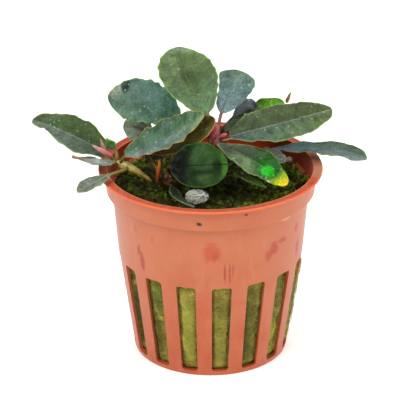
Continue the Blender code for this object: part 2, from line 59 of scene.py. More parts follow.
# Net pot, as in the part's source, but its slots start a little higher and have rounder corners
POT_HEIGHT = 48.0
LIP_RADIUS = 27.5
LIP_INNER_RADIUS = 25.1
LIP_THICKNESS = 0.5
COLLAR_TOP_RADIUS = 25.95
COLLAR_FOOT_RADIUS = 25.6
COLLAR_FOOT_HEIGHT = 42.3
STEP_HEIGHT = 42.9
STEP_SLOPE = 0.5
SHOULDER_RADIUS = 24.2
WAIST_RADIUS = 22.8
WAIST_HEIGHT = 26.6
BASE_RADIUS = 19.0
FOOT_ROUND = 0.4
WALL = 0.9
COLLAR_WALL = 0.8
FLOOR = 1.2
SLOT_COUNT = 16
SLOT_FIRST_ANGLE = 7.0          # degrees right of the front
SLOT_BOTTOM = 1.3
SLOT_TOP = 25.7
SLOT_BOTTOM_WIDTH = 4.0
SLOT_TOP_WIDTH = 4.9
SLOT_CORNER = 0.8

# Finer forms of the pot
BRIM_ROUND = 0.32               # how far each corner of the brim's section is rounded
EASED_EDGE = 0.14
LIP_SAG = 0.12
OUT_OF_ROUND = 0.0025           # part of the radius
COLUMN_RADIUS = 18.0            # nearer the axis, the columns keep their angles

# Filling, as in the part's source
WOOL_TOP = 40.1
WOOL_RADIUS_INSET = 1.55        # wall, gap and the depth that the fibres stand out
WOOL_SWELL = 0.85               # how far the wool presses out into a slot
WOOL_SWELLS = {3: 1.3, 4: 1.9}  # the same for two slots, numbered from the front to the right
MOSS_RADIUS = 24.4
MOSS_FOOT_RADIUS = 22.7
MOSS_STEP_HEIGHT = 43.1
MOSS_EDGE_HEIGHT = 44.0
MOSS_CROWN = 0.5
SHOOT_HEIGHT = 1.4
SHOOT_BEND = 0.22
SHOOT_RADIUS = 0.045
LEAFLETS = 9
LEAFLET_FIRST = 0.12            # part of the shoot's height
LEAFLET_STEP = 0.098
LEAFLET_REACH = 0.58
LEAFLET_TURN = 2.4              # radians from one leaflet to the next
TUFT_CENTRE = (-3.3, -15.1, 46.65)
TUFT_SIZE = (2.9, 1.65, 1.85)
TUFT_THREADS = 110
CRUMB_CENTRE = (19.4, 10.0, 45.2)
CRUMB_SIZE = (0.8, 0.6, 0.6)

# Leaves, as in the part's source, but with a thinner blade
STATIONS = np.array([0.0, 0.25, 0.5, 0.75, 1.0])
STALK_THICKNESS = 0.8
STALK_BOW = 0.35
NECK_START = 0.12
ROOT_GAP = 0.4
BLADE_THICKNESS = 0.42

# Finer forms of the leaves
BLADE_END = 0.998               # part of the midrib's length where the last ring stands
LONG_LEAF = 13.0                # a longer leaf has more points round its section
VEIN_SPACING = 1.5
VEIN_SLANT = 0.55               # how far a vein runs on for each millimetre outwards
VEIN_DEPTH = 0.022
QUILT_DEPTH = 0.08
GROOVE_DEPTH = 0.16
RIB_HEIGHT = 0.30

# Sizes of the patterns in the finishes
POT_CLOUD = 9.0
POT_STREAK = 2.2
POT_SCUFF = 1.6
SMEAR_EDGE = 1.4
WOOL_CLUMP = 5.0
WOOL_THREAD = 0.8
FIBRE_SHADE = 2.0
MOSS_CLUMP = 4.0
MOSS_GRAIN = 0.7
LEAF_MOTTLE = 3.2
LEAF_SKIN = 0.75
LEAF_GRAIN = 0.5
STEM_GRAIN = 1.3
SHEATH_GRAIN = 0.8

# Stems: points along the middle, each with the stem's radius there
RHIZOME = (
    (-13.5, -5.0, 46.6, 1.6),
    (-6.5, -3.2, 46.9, 1.9),
    (-0.3, -0.8, 49.0, 1.8),
    (1.0, 1.0, 54.4, 1.3),
)
LEFT_STEM = (
    (-14.3, -5.4, 46.3, 0.45),
    (-18.4, -3.2, 48.2, 0.85),
    (-21.3, -1.8, 49.1, 1.0),
    (-23.9, -0.7, 49.5, 0.5),
)

# Camera: the photograph's viewing angle, and a lens long enough for its distance
CAMERA_TARGET = (-0.63, 0.0, 36.65)
CAMERA_ELEVATION = 24.85
CAMERA_DISTANCE = 650.0
PIXELS_PER_MM = 4.063           # at the target, in a frame of 416 pixels
FRAME_PIXELS = 416
SENSOR_WIDTH = 36.0

# Studio: the floor's reach, where the lights aim, and each light's place and the side of its square
FLOOR_REACH = 4000.0
LIGHT_AIM = (0.0, 0.0, 45.0)
KEY_LIGHT = ((-300.0, -360.0, 560.0), 420.0)
FILL_LIGHT = ((480.0, -260.0, 420.0), 460.0)
TOP_LIGHT = ((60.0, 240.0, 620.0), 520.0)


def unit(vector):
    """The vector at length one."""
    vector = np.asarray(vector, float)
    return vector / np.linalg.norm(vector, axis=-1, keepdims=True)


def ease(value, start=0.0, end=1.0):
    """Zero before start, one after end, and a smooth step between."""
    part = np.clip((np.asarray(value, float) - start) / (end - start), 0.0, 1.0)
    return part * part * (3 - 2 * part)


def uneven(points, size, seed, count=9):
    """Smooth unevenness between about -1 and 1: the sum of sine waves of a size in chance directions."""
    draw = np.random.default_rng(seed)
    points = np.asarray(points, float)
    waves = unit(draw.normal(size=(count, points.shape[-1]))) * TAU / size
    waves = waves * draw.uniform(0.6, 1.5, (count, 1))
    return np.sin(points @ waves.T + draw.uniform(0, TAU, count)).sum(-1) / math.sqrt(count)


def vectors(*parts):
    """Arrays of unlike shapes, spread over one grid and joined as its points' vectors."""
    return np.stack(np.broadcast_arrays(*parts), -1)


def through(values, along):
    """The curve of the fourth degree through five values spaced evenly from 0 to 1."""
    return np.polyval(np.polyfit(STATIONS, values, 4), along)


def write_mesh(name, vertices, faces, attributes=None, finish=None, slot=None):
    """A mesh object in the frame from millimetre vertices and arrays of equal-sized faces.

    The object sits at the origin and rides on the one body. Attributes hold a value or a
    vector for each vertex, for a material that follows the surface.
    """
    vertices = np.ascontiguousarray(vertices, dtype=np.float64).reshape(-1, 3)
    faces = [np.asarray(group, dtype=np.int32) for group in faces if len(group)]
    mesh = bpy.data.meshes.new(name)
    mesh.vertices.add(len(vertices))
    mesh.vertices.foreach_set("co", (vertices * MM).ravel())
    corners = np.concatenate([group.ravel() for group in faces])
    sizes = np.concatenate([np.full(len(group), group.shape[1]) for group in faces])
    mesh.loops.add(len(corners))
    mesh.loops.foreach_set("vertex_index", corners)
    mesh.polygons.add(len(sizes))
    mesh.polygons.foreach_set("loop_start", np.concatenate([[0], np.cumsum(sizes)[:-1]]))
    mesh.update(calc_edges=True)
    mesh.validate()
    for label, values in (attributes or {}).items():
        values = np.asarray(values, dtype=np.float32)
        kind = "FLOAT" if values.ndim == 1 else "FLOAT_VECTOR"
        key = "value" if values.ndim == 1 else "vector"
        mesh.attributes.new(label, kind, "POINT").data.foreach_set(key, values.ravel())
    mesh.shade_smooth()
    if finish is not None:
        mesh.materials.append(finish)
    piece = bpy.data.objects.new(name, mesh)
    bpy.context.scene.collection.objects.link(piece)
    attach(piece, BODY)
    return piece


def ring_quads(count, around):
    """Quads between each ring of points and the next, where the rings follow one another."""
    row = np.arange(around)
    ahead = np.roll(row, -1)
    low = (np.arange(count - 1) * around)[:, None]
    return np.stack([low + row, low + ahead, low + ahead + around, low + row + around], -1).reshape(-1, 4)


def loft_faces(count, around):
    """Quads between rings of a closed loft, and a fan of triangles at each end.

    The rings' points come first, ring by ring, and then one point for each end's middle.
    """
    row = np.arange(around)
    ahead = np.roll(row, -1)
    last = (count - 1) * around
    start = np.full(around, count * around)
    first_fan = np.stack([start, ahead, row], -1)
    last_fan = np.stack([start + 1, last + row, last + ahead], -1)
    return [ring_quads(count, around), np.concatenate([first_fan, last_fan])]


def loft(name, rings, attributes=None, **options):
    """A closed loft through rings of equally many points, seen turning the same way as its travel."""
    count, around = rings.shape[:2]
    ends = np.stack([rings[0].mean(0), rings[-1].mean(0)])
    vertices = np.concatenate([rings.reshape(-1, 3), ends])
    carried = {}
    for label, values in (attributes or {}).items():
        flat = values.reshape((count * around,) + values.shape[2:])
        carried[label] = np.concatenate([flat, [values[0].mean(0)], [values[-1].mean(0)]])
    return write_mesh(name, vertices, loft_faces(count, around), carried, **options)


def write_copies(name, vertices, faces, attributes=None, **options):
    """Many small shapes with the same faces in one mesh: a row of points, and one value, for each."""
    number, points = vertices.shape[:2]
    step = (np.arange(number) * points)[:, None, None]
    groups = [(group[None] + step).reshape(-1, group.shape[1]) for group in faces]
    carried = {label: np.repeat(values, points, axis=0) for label, values in (attributes or {}).items()}
    return write_mesh(name, vertices, groups, carried, **options)


def strands(name, paths, radii, sides=3, attributes=None, **options):
    """Many fibres in one mesh: a small polygon carried along each path, closed by a flat end.

    Paths has one row of points for each fibre, and radii one value for each of those points.
    """
    number, count = paths.shape[:2]
    heading = unit(np.gradient(paths, axis=1) + 1e-9)
    side = unit(np.cross(heading, unit((0.31, 0.47, 0.83))) + 1e-9)
    other = np.cross(heading, side)
    turn = np.arange(sides) * TAU / sides
    ring = np.cos(turn)[:, None] * side[:, :, None] + np.sin(turn)[:, None] * other[:, :, None]
    vertices = paths[:, :, None] + ring * np.broadcast_to(radii, (number, count))[..., None, None]
    row = np.arange(sides)
    faces = [ring_quads(count, sides), np.stack([row[::-1], (count - 1) * sides + row])]
    return write_copies(name, vertices.reshape(number, -1, 3), faces, attributes, **options)


def ball_rings(around, count, pole):
    """Points of a ball of radius one, as rings from an angle off its lower pole to one off its upper."""
    turn = np.linspace(0, TAU, around, endpoint=False)
    tilt = np.linspace(pole, math.pi - pole, count)[:, None]
    return vectors(np.sin(tilt) * np.cos(turn), np.sin(tilt) * np.sin(turn), -np.cos(tilt))


def linear(colour):
    """An sRGB hex value as the linear red, green, blue and alpha that shaders take."""
    parts = [int(colour[i:i + 2], 16) / 255 for i in (1, 3, 5)]
    return (*(p / 12.92 if p <= 0.04045 else ((p + 0.055) / 1.055) ** 2.4 for p in parts), 1.0)


def put(tree, kind, sockets=None, stops=None, **settings):
    """Add a node, set its properties, and give each input a constant or another node's output."""
    node = tree.nodes.new(kind)
    for key, value in settings.items():
        setattr(node, key, value)
    for key, value in (sockets or {}).items():
        if isinstance(value, bpy.types.NodeSocket):
            tree.links.new(value, node.inputs[key])
        else:
            node.inputs[key].default_value = linear(value) if isinstance(value, str) else value
    if stops:
        ramp = node.color_ramp.elements
        while len(ramp) < len(stops):
            ramp.new(0.5)
        for element, (place, colour) in zip(ramp, stops):
            element.position = place
            element.color = linear(colour)
    return node


def new_material(name):
    """An empty material with its shader and output, and the shader."""
    made = bpy.data.materials.new(name)
    made.use_nodes = True
    return made, made.node_tree, made.node_tree.nodes["Principled BSDF"]


def scale_of(size):
    """A texture's scale for a pattern of a size in millimetres, over coordinates in metres."""
    return 1000 / size


def rounded(corners, radius, steps=4):
    """A polyline whose corners are short parabolas that leave each straight a radius from its corner."""
    corners = [np.array(corner, float) for corner in corners]
    made = [corners[0][None]]
    part = np.linspace(0, 1, steps + 1)[:, None]
    for before, here, after in zip(corners, corners[1:], corners[2:]):
        reach = [min(radius, 0.45 * np.linalg.norm(end - here)) for end in (before, after)]
        enter = here + unit(before - here) * reach[0]
        leave = here + unit(after - here) * reach[1]
        made.append(enter * (1 - part) ** 2 + here * 2 * part * (1 - part) + leave * part ** 2)
    made.append(corners[-1][None])
    return np.concatenate(made)


def outer_radius(height):
    """Radius of the pot's outer wall: a cone under the waist and a steeper one above it."""
    return np.interp(
        height, (FOOT_ROUND, WAIST_HEIGHT, COLLAR_FOOT_HEIGHT), (BASE_RADIUS, WAIST_RADIUS, SHOULDER_RADIUS)
    )


def slot_half_width(height):
    """Half a slot's width: it widens evenly upwards, and a quarter circle rounds each corner."""
    part = np.clip((height - SLOT_BOTTOM) / (SLOT_TOP - SLOT_BOTTOM), 0, 1)
    half = (SLOT_BOTTOM_WIDTH + (SLOT_TOP_WIDTH - SLOT_BOTTOM_WIDTH) * part) / 2
    to_end = np.clip(np.minimum(height - SLOT_BOTTOM, SLOT_TOP - height), 0, SLOT_CORNER)
    return half - SLOT_CORNER + np.sqrt(SLOT_CORNER ** 2 - (SLOT_CORNER - to_end) ** 2)


def pot_surface():
    """The pot as a section carried round Z, with its columns bent to run along the slots' edges.

    A point at radius r, angle t and height z stands at r (1 + 0.0025 sin(2t + 1.9)), with the lip's
    height lowered or raised by 0.12 mm times sin(2t + 0.8). Each ring has seven columns across a
    slot and six across the bar beside it. The cells of the slots are left out, and walls join
    inside to outside.
    """
    corner = SLOT_CORNER * (1 - np.cos(np.linspace(0, math.pi / 2, 6)))
    middle = np.linspace(SLOT_BOTTOM + SLOT_CORNER, SLOT_TOP - SLOT_CORNER, 14)[1:-1]
    levels = np.concatenate([SLOT_BOTTOM + corner, middle, SLOT_TOP - corner[::-1]])
    inside = np.stack([outer_radius(levels) - WALL, levels], 1)
    outside = np.stack([outer_radius(levels), levels], 1)[::-1]
    floor = [(r, FLOOR) for r in (6.0, 12.0, 16.0)] + [(BASE_RADIUS - WALL - 0.2, FLOOR)]
    brim = rounded((
        (WAIST_RADIUS - WALL, WAIST_HEIGHT), (SHOULDER_RADIUS - WALL, STEP_HEIGHT),
        (COLLAR_FOOT_RADIUS - COLLAR_WALL, STEP_HEIGHT + STEP_SLOPE),
        (COLLAR_TOP_RADIUS - COLLAR_WALL, POT_HEIGHT - LIP_THICKNESS), (LIP_INNER_RADIUS, POT_HEIGHT),
        (LIP_RADIUS, POT_HEIGHT), (LIP_RADIUS, POT_HEIGHT - LIP_THICKNESS),
        (COLLAR_TOP_RADIUS, POT_HEIGHT - LIP_THICKNESS), (COLLAR_FOOT_RADIUS, COLLAR_FOOT_HEIGHT),
        (SHOULDER_RADIUS, COLLAR_FOOT_HEIGHT), (WAIST_RADIUS, WAIST_HEIGHT),
    ), BRIM_ROUND)
    foot = [
        (BASE_RADIUS, FOOT_ROUND), (BASE_RADIUS - 0.12, 0.12), (BASE_RADIUS - FOOT_ROUND, 0.0),
        (14.0, 0.0), (7.0, 0.0),
    ]
    section = np.concatenate([floor, inside, brim, outside, foot])
    radius, height = section[:, :1], section[:, 1:]
    first_in = len(floor)
    first_out = len(floor) + len(inside) + len(brim)
    slot_half = slot_half_width(np.clip(height, SLOT_BOTTOM, SLOT_TOP))
    half = np.arcsin(slot_half / np.maximum(radius, COLUMN_RADIUS))
    pitch = TAU / SLOT_COUNT
    across = np.linspace(-1, 1, 7)
    along_bar = np.arange(1, 7) / 7
    sector = np.concatenate([half * across, half + (pitch - 2 * half) * along_bar], 1)
    centres = math.radians(SLOT_FIRST_ANGLE) + np.arange(SLOT_COUNT) * pitch
    angle = (centres[None, :, None] + sector[:, None, :]).reshape(len(section), -1)
    sag = LIP_SAG * np.sin(2 * angle + 0.8) * ease(height, 20, POT_HEIGHT)
    out_of_round = radius * (1 + OUT_OF_ROUND * np.sin(2 * angle + 1.9) * ease(height, 0, POT_HEIGHT))
    z = height + sag * ease(height, 40, POT_HEIGHT)
    rings = np.stack([out_of_round * np.sin(angle), -out_of_round * np.cos(angle), z], -1)
    return rings, len(levels), first_in, first_out, len(across)


def build_pot(finish):
    """The net pot, with walls through its thickness round each slot and eased edges."""
    rings, levels, first_in, first_out, wide = pot_surface()
    count, columns = rings.shape[:2]
    index = np.arange(count * columns).reshape(count, columns)
    ahead = np.roll(index, -1, axis=1)
    cells = np.stack([index[:-1], index[1:], ahead[1:], ahead[:-1]], -1)
    keep = np.ones(cells.shape[:2], bool)
    per_sector = columns // SLOT_COUNT
    slot_cell = (np.arange(columns) % per_sector) < wide - 1
    for first in (first_in, first_out):
        keep[first:first + levels - 1, slot_cell] = False
    inner = index[first_in:first_in + levels]
    outer = index[first_out:first_out + levels][::-1]
    starts = np.arange(SLOT_COUNT) * per_sector
    right, left = starts + wide - 1, starts
    sides = []
    for edge, order in ((right, (0, 1, 2, 3)), (left, (3, 2, 1, 0))):
        wall = np.stack([inner[:-1, edge], outer[:-1, edge], outer[1:, edge], inner[1:, edge]], -1)
        sides.append(wall[..., list(order)].reshape(-1, 4))
    cell = np.nonzero(slot_cell)[0]
    for level, order in ((0, (0, 1, 2, 3)), (levels - 1, (3, 2, 1, 0))):
        near, far = inner[level], outer[level]
        ledge = np.stack([near[cell], far[cell], far[cell + 1], near[cell + 1]], -1)
        sides.append(ledge[:, list(order)])
    poles = np.array([[0.0, 0.0, FLOOR], [0.0, 0.0, 0.0]])
    pole = np.full(columns, count * columns)
    fans = np.concatenate([
        np.stack([pole, index[0], ahead[0]], -1), np.stack([pole + 1, ahead[-1], index[-1]], -1)
    ])
    piece = write_mesh(
        "net_pot", np.concatenate([rings.reshape(-1, 3), poles]), [cells[keep], *sides, fans],
        finish=finish, slot="pot_plastic",
    )
    bevel = piece.modifiers.new("Eased edges", "BEVEL")
    bevel.width = EASED_EDGE * MM
    bevel.segments = 2
    bevel.limit_method = "ANGLE"
    bevel.angle_limit = math.radians(50)
    bevel.harden_normals = True
    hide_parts("pot")
    return piece


def wool_bulge(angle, height):
    """How far the wool swells out into the slots.

    It is each slot's swell times 1 - a^4, where a is the part of the way from the slot's middle to
    its edge, and it eases to nothing at the slot's foot and top.
    """
    out = 0.0
    for number in range(SLOT_COUNT):
        centre = math.radians(SLOT_FIRST_ANGLE) + number * TAU / SLOT_COUNT
        turned = np.abs(np.mod(angle - centre + math.pi, TAU) - math.pi)
        half = (slot_half_width(height) - 0.15) / outer_radius(height)
        away = np.clip(turned / np.maximum(half, 0.02), 0, 1)
        out = out + WOOL_SWELLS.get(number, WOOL_SWELL) * (1 - away ** 4)
    above_foot = ease(height, SLOT_BOTTOM + 0.3, SLOT_BOTTOM + 3)
    return out * above_foot * (1 - ease(height, SLOT_TOP - 5.0, SLOT_TOP - 0.4))


def build_wool(finish, fibre_finish, fibres):
    """The plug of rock wool: a rough turned block, and fibres that lie round it and stand out of it.

    The block's radius is the wall's less an inset, plus 0.30 mm and 0.16 mm times sums of sine waves
    of 5 mm and 1.7 mm, plus the swell into the slots. A fibre follows a short arc round the block at
    a chance height, slope and bow, up to 0.62 mm off it.
    """
    turn = np.linspace(0, TAU, 480, endpoint=False)
    heights = np.linspace(FLOOR + 0.4, WOOL_TOP - 0.1, 150)
    radius = outer_radius(heights) - WOOL_RADIUS_INSET
    angle, height = np.meshgrid(turn, heights)
    around = np.stack([np.sin(angle), -np.cos(angle)], -1) * radius[:, None, None]
    place = np.concatenate([around, height[..., None]], -1)
    clumps = uneven(place * (1.0, 1.0, 1.7), 5.0, 3) * 0.30 + uneven(place * (1.0, 1.0, 3.0), 1.7, 4) * 0.16
    shift = np.clip(clumps, -0.8, 0.75) * ease(height, FLOOR, FLOOR + 1.5) + wool_bulge(angle, height)
    rings = np.concatenate([around * (1 + shift / radius[:, None])[..., None], height[..., None]], -1)
    plug = loft("wool_plug", rings, finish=finish, slot="rock_wool")
    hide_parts("rock_wool")
    draw = np.random.default_rng(11)
    steps = np.linspace(-1, 1, 9)
    level = draw.uniform(FLOOR + 1.5, SLOT_TOP + 0.6, fibres)
    span = draw.uniform(0.03, 0.17, fibres)
    lean = draw.normal(0, 2.3, fibres)
    bow = draw.normal(0, 0.35, (fibres, 2))
    theta = draw.uniform(0, TAU, fibres)[:, None] + span[:, None] * steps
    z = level[:, None] + lean[:, None] * span[:, None] * steps * 8 + bow[:, :1] * np.cos(steps * 2.0)
    z = np.clip(z, FLOOR + 0.5, SLOT_TOP + 2)
    rise = 0.30 * draw.uniform(0, 1, (fibres, 1)) * np.cos(steps * 1.5)
    stand = 0.28 + rise + bow[:, 1:] * 0.25 * np.sin(steps * 3)
    r = outer_radius(z) - WOOL_RADIUS_INSET + np.clip(stand, -0.1, 0.62) + wool_bulge(theta, z)
    paths = np.stack([r * np.sin(theta), -r * np.cos(theta), z], -1)
    radii = draw.uniform(0.02, 0.045, (fibres, 1)) * (1 - 0.6 * steps ** 4)
    strands(
        "wool_fibres", paths, radii, attributes={"shade": 0.35 + 0.4 * draw.uniform(0, 1, fibres)},
        finish=fibre_finish, slot="rock_wool",
    )


def moss_top(x, y):
    """Height of the mat between the tufts: the solid's low crown, with humps and hollows.

    The humps are 0.45 mm and 0.28 mm times sums of sine waves of 7 mm and 2.6 mm.
    """
    fall = 1 - (x ** 2 + y ** 2) / MOSS_RADIUS ** 2
    place = np.stack([x, y], -1)
    humps = 0.45 * uneven(place, 7.0, 21) + 0.28 * uneven(place, 2.6, 22)
    return MOSS_EDGE_HEIGHT - 1.05 + MOSS_CROWN * fall + np.clip(humps, -0.9, 0.5) * ease(fall, 0, 0.12)


def build_moss(finish, shoot_finish, shoots):
    """The moss: a dark uneven mat, and small leafy shoots that lean every way.

    The tallest shoots are held to 0.4 mm over the solid's crown.

    The mat is rings of points from its underside round its edge to its middle. The shoots are
    thicker and paler where a sum of sine waves of 6 mm is high, and towards the right.
    """
    turn = np.linspace(0, TAU, 180, endpoint=False)
    foot = WOOL_TOP + 0.3
    underside = ((4.0, foot), (MOSS_FOOT_RADIUS, foot), (MOSS_FOOT_RADIUS, MOSS_STEP_HEIGHT - 0.9))
    rings = [vectors(r * np.cos(turn), r * np.sin(turn), z) for r, z in underside]
    for r in np.concatenate([[MOSS_FOOT_RADIUS + 0.6], np.linspace(MOSS_FOOT_RADIUS, 0.3, 75)]):
        x, y = r * np.cos(turn), r * np.sin(turn)
        rings.append(np.stack([x, y, moss_top(x, y)], 1))
    mat = loft("moss_mat", np.array(rings), finish=finish, slot="moss")
    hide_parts("moss")
    draw = np.random.default_rng(31)
    r = (MOSS_RADIUS - 0.5) * np.sqrt(draw.uniform(0, 1, shoots))
    angle = draw.uniform(0, TAU, shoots)
    x, y = r * np.cos(angle), r * np.sin(angle)
    thick = ease(uneven(np.stack([x, y], -1), 6.0, 33) + 1.1 * ease(x, 4.0, 18.0) - 0.3, -1.0, 1.0)
    size = draw.uniform(0.7, 1.25, shoots) * (0.65 + 0.5 * thick)
    tilt = draw.normal(0, 0.75, (2, shoots))
    lean = unit(vectors(tilt[0], tilt[1], 0.75))
    side = unit(np.cross(lean, unit(draw.normal(size=(shoots, 3)))))
    turns = np.stack([side, np.cross(lean, side), lean], -1) * size[:, None, None]
    places = np.stack([x, y, moss_top(x, y) - 0.15], -1)
    shape, faces = moss_shoot()
    room = MOSS_EDGE_HEIGHT + MOSS_CROWN * (1 - r ** 2 / MOSS_RADIUS ** 2) + 0.35 - places[:, 2]
    tall = np.einsum("nj,vj->nv", turns[:, 2], shape).max(1)
    turns[:, 2] *= np.minimum(1, room / np.maximum(tall, 0.05))[:, None]
    shade = np.clip(0.72 * thick + draw.normal(0, 0.24, shoots) + 0.04, 0, 1)
    write_copies(
        "moss_shoots", np.einsum("nij,vj->nvi", turns, shape) + places[:, None], faces,
        attributes={"shade": shade}, finish=shoot_finish, slot="moss",
    )


def moss_shoot():
    """A shoot of moss: a bent three-sided stem with narrow leaflets that wind up it.

    The stem's middle is out by 0.22 times the square of the part of its height. A leaflet is a
    diamond with a raised middle, closed below, and its reach falls by 0.45 up the stem.
    """
    up = np.linspace(0, 1, 4)
    stem = vectors(SHOOT_BEND * up ** 2, 0.0, SHOOT_HEIGHT * up)
    around = np.arange(3) * TAU / 3
    ring = vectors(np.cos(around), np.sin(around), 0.0) * SHOOT_RADIUS
    vertices = [(stem[:, None] + ring * (1 - 0.7 * up)[:, None, None]).reshape(-1, 3)]
    triangles = [[9, 10, 11], [2, 1, 0]]
    for number in range(LEAFLETS):
        part = LEAFLET_FIRST + LEAFLET_STEP * number
        root = np.array([SHOOT_BEND * part ** 2, 0.0, SHOOT_HEIGHT * part])
        swing = number * LEAFLET_TURN
        out = np.array([math.cos(swing), math.sin(swing), 0.75])
        flat = np.array([-math.sin(swing), math.cos(swing), 0.0])
        reach = LEAFLET_REACH * (1 - 0.45 * part)
        first = sum(len(group) for group in vertices)
        middle = root + out * reach * 0.45
        vertices.append(np.stack([
            root, middle + flat * 0.14, root + out * reach, middle - flat * 0.14, middle + (0, 0, 0.035)
        ]))
        for a, b, c in ((0, 1, 4), (1, 2, 4), (2, 3, 4), (3, 0, 4), (1, 0, 3), (2, 1, 3)):
            triangles.append([first + a, first + b, first + c])
    return np.concatenate(vertices), [ring_quads(4, 3), np.array(triangles)]


def stem_at(course, along):
    """Middle, direction and radius of a stem at parts of its length, on the curve through its points."""
    points = np.array(course)
    fitted = np.polyfit(np.linspace(0, 1, len(points)), points, len(points) - 1)
    along = np.atleast_1d(along).astype(float)
    here = np.stack([np.polyval(fitted[:, i], along) for i in range(4)], -1)
    slope = np.stack([np.polyval(np.polyder(fitted[:, i]), along) for i in range(3)], -1)
    return here[:, :3], unit(slope), here[:, 3]


def on_stem(course, along, towards):
    """The point a gap off a stem's skin, on the side that a direction looks to, and the way out."""
    middle, axis, radius = (values[0] for values in stem_at(course, along))
    out = np.asarray(towards, float)
    out = unit(out - out.dot(axis) * axis)
    return middle + out * (radius + ROOT_GAP), out


def build_stem(node, spec, finish):
    """A stem: a circle carried along its course, with a raised scar at each joint and lengthwise ribs.

    At part p of the length and angle t, the radius grows by the swelling times |sin(pi n p)|^12 for
    n scars, and by 0.03 sin(9t + 3p) + 0.05 sin(3t + 9p), and narrows to round ends.
    """
    along = np.linspace(0, 1, 90)
    middle, axis, radius = stem_at(spec["course"], along)
    side = unit(np.cross(axis, (0.0, 1.0, 0.2)))
    other = np.cross(axis, side)
    turn = np.linspace(0, TAU, 48, endpoint=False)
    beat = np.abs(np.sin(math.pi * spec["scars"] * along))[:, None] ** 12
    ends = np.sqrt(np.clip(1 - (2 * along - 1) ** 10, 0, 1))[:, None]
    ribs = 0.03 * np.sin(turn * 9 + 3 * along[:, None]) + 0.05 * np.sin(turn * 3 + 9 * along[:, None])
    girth = radius[:, None] * (1 + spec["swell"] * beat + ribs) * (0.35 + 0.65 * ends)
    rings = middle[:, None] + girth[..., None] * (
        np.cos(turn)[:, None] * side[:, None] + np.sin(turn)[:, None] * other[:, None]
    )
    rings = rings + 0.07 * uneven(rings, 1.6, 41)[..., None] * unit(rings - middle[:, None])
    place = vectors(along[:, None], turn / TAU, beat)
    piece = loft(f"{node}_skin", rings, {"stem_place": place}, finish=finish, slot=spec["slot"])
    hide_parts(node)
    return piece


def leaf_course(spec, along):
    """Point and direction on the parabola through a leaf's neck, middle and tip."""
    neck, middle, tip = (np.array(spec[key], float) for key in ("neck", "middle", "tip"))
    along = along[:, None]
    point = neck * (1 - along) * (1 - 2 * along) + middle * 4 * along * (1 - along)
    point = point + tip * along * (2 * along - 1)
    slope = neck * (4 * along - 3) + middle * (4 - 8 * along) + tip * (4 * along - 1)
    return point, unit(slope)


def leaf_length(spec):
    """A blade's length: from neck to middle and on to tip, straight."""
    neck, middle, tip = (np.array(spec[key], float) for key in ("neck", "middle", "tip"))
    return float(np.linalg.norm(middle - neck)) + float(np.linalg.norm(tip - middle))


def half_width(spec, side, along, seed):
    """Distance from midrib to margin: five widths times an ellipse, less the nicks, with a fine scallop.

    A nick is a bell curve at its part of the length, and the scallop a sum of sine waves of 2.2 mm.
    """
    ellipse = np.sqrt(np.clip(4 * along * (1 - along), 0, 1))
    width = through(spec[side], along) * ellipse
    for nick_side, place, depth, reach in spec.get("nicks", ()):
        if nick_side == side:
            width = width - depth * np.exp(-((along - place) / reach) ** 2)
    scallop = spec.get("scallop", 0.08) * uneven(along[:, None] * spec["length"], 2.2, seed) * ellipse
    return np.maximum(width + scallop, STALK_THICKNESS / 2)


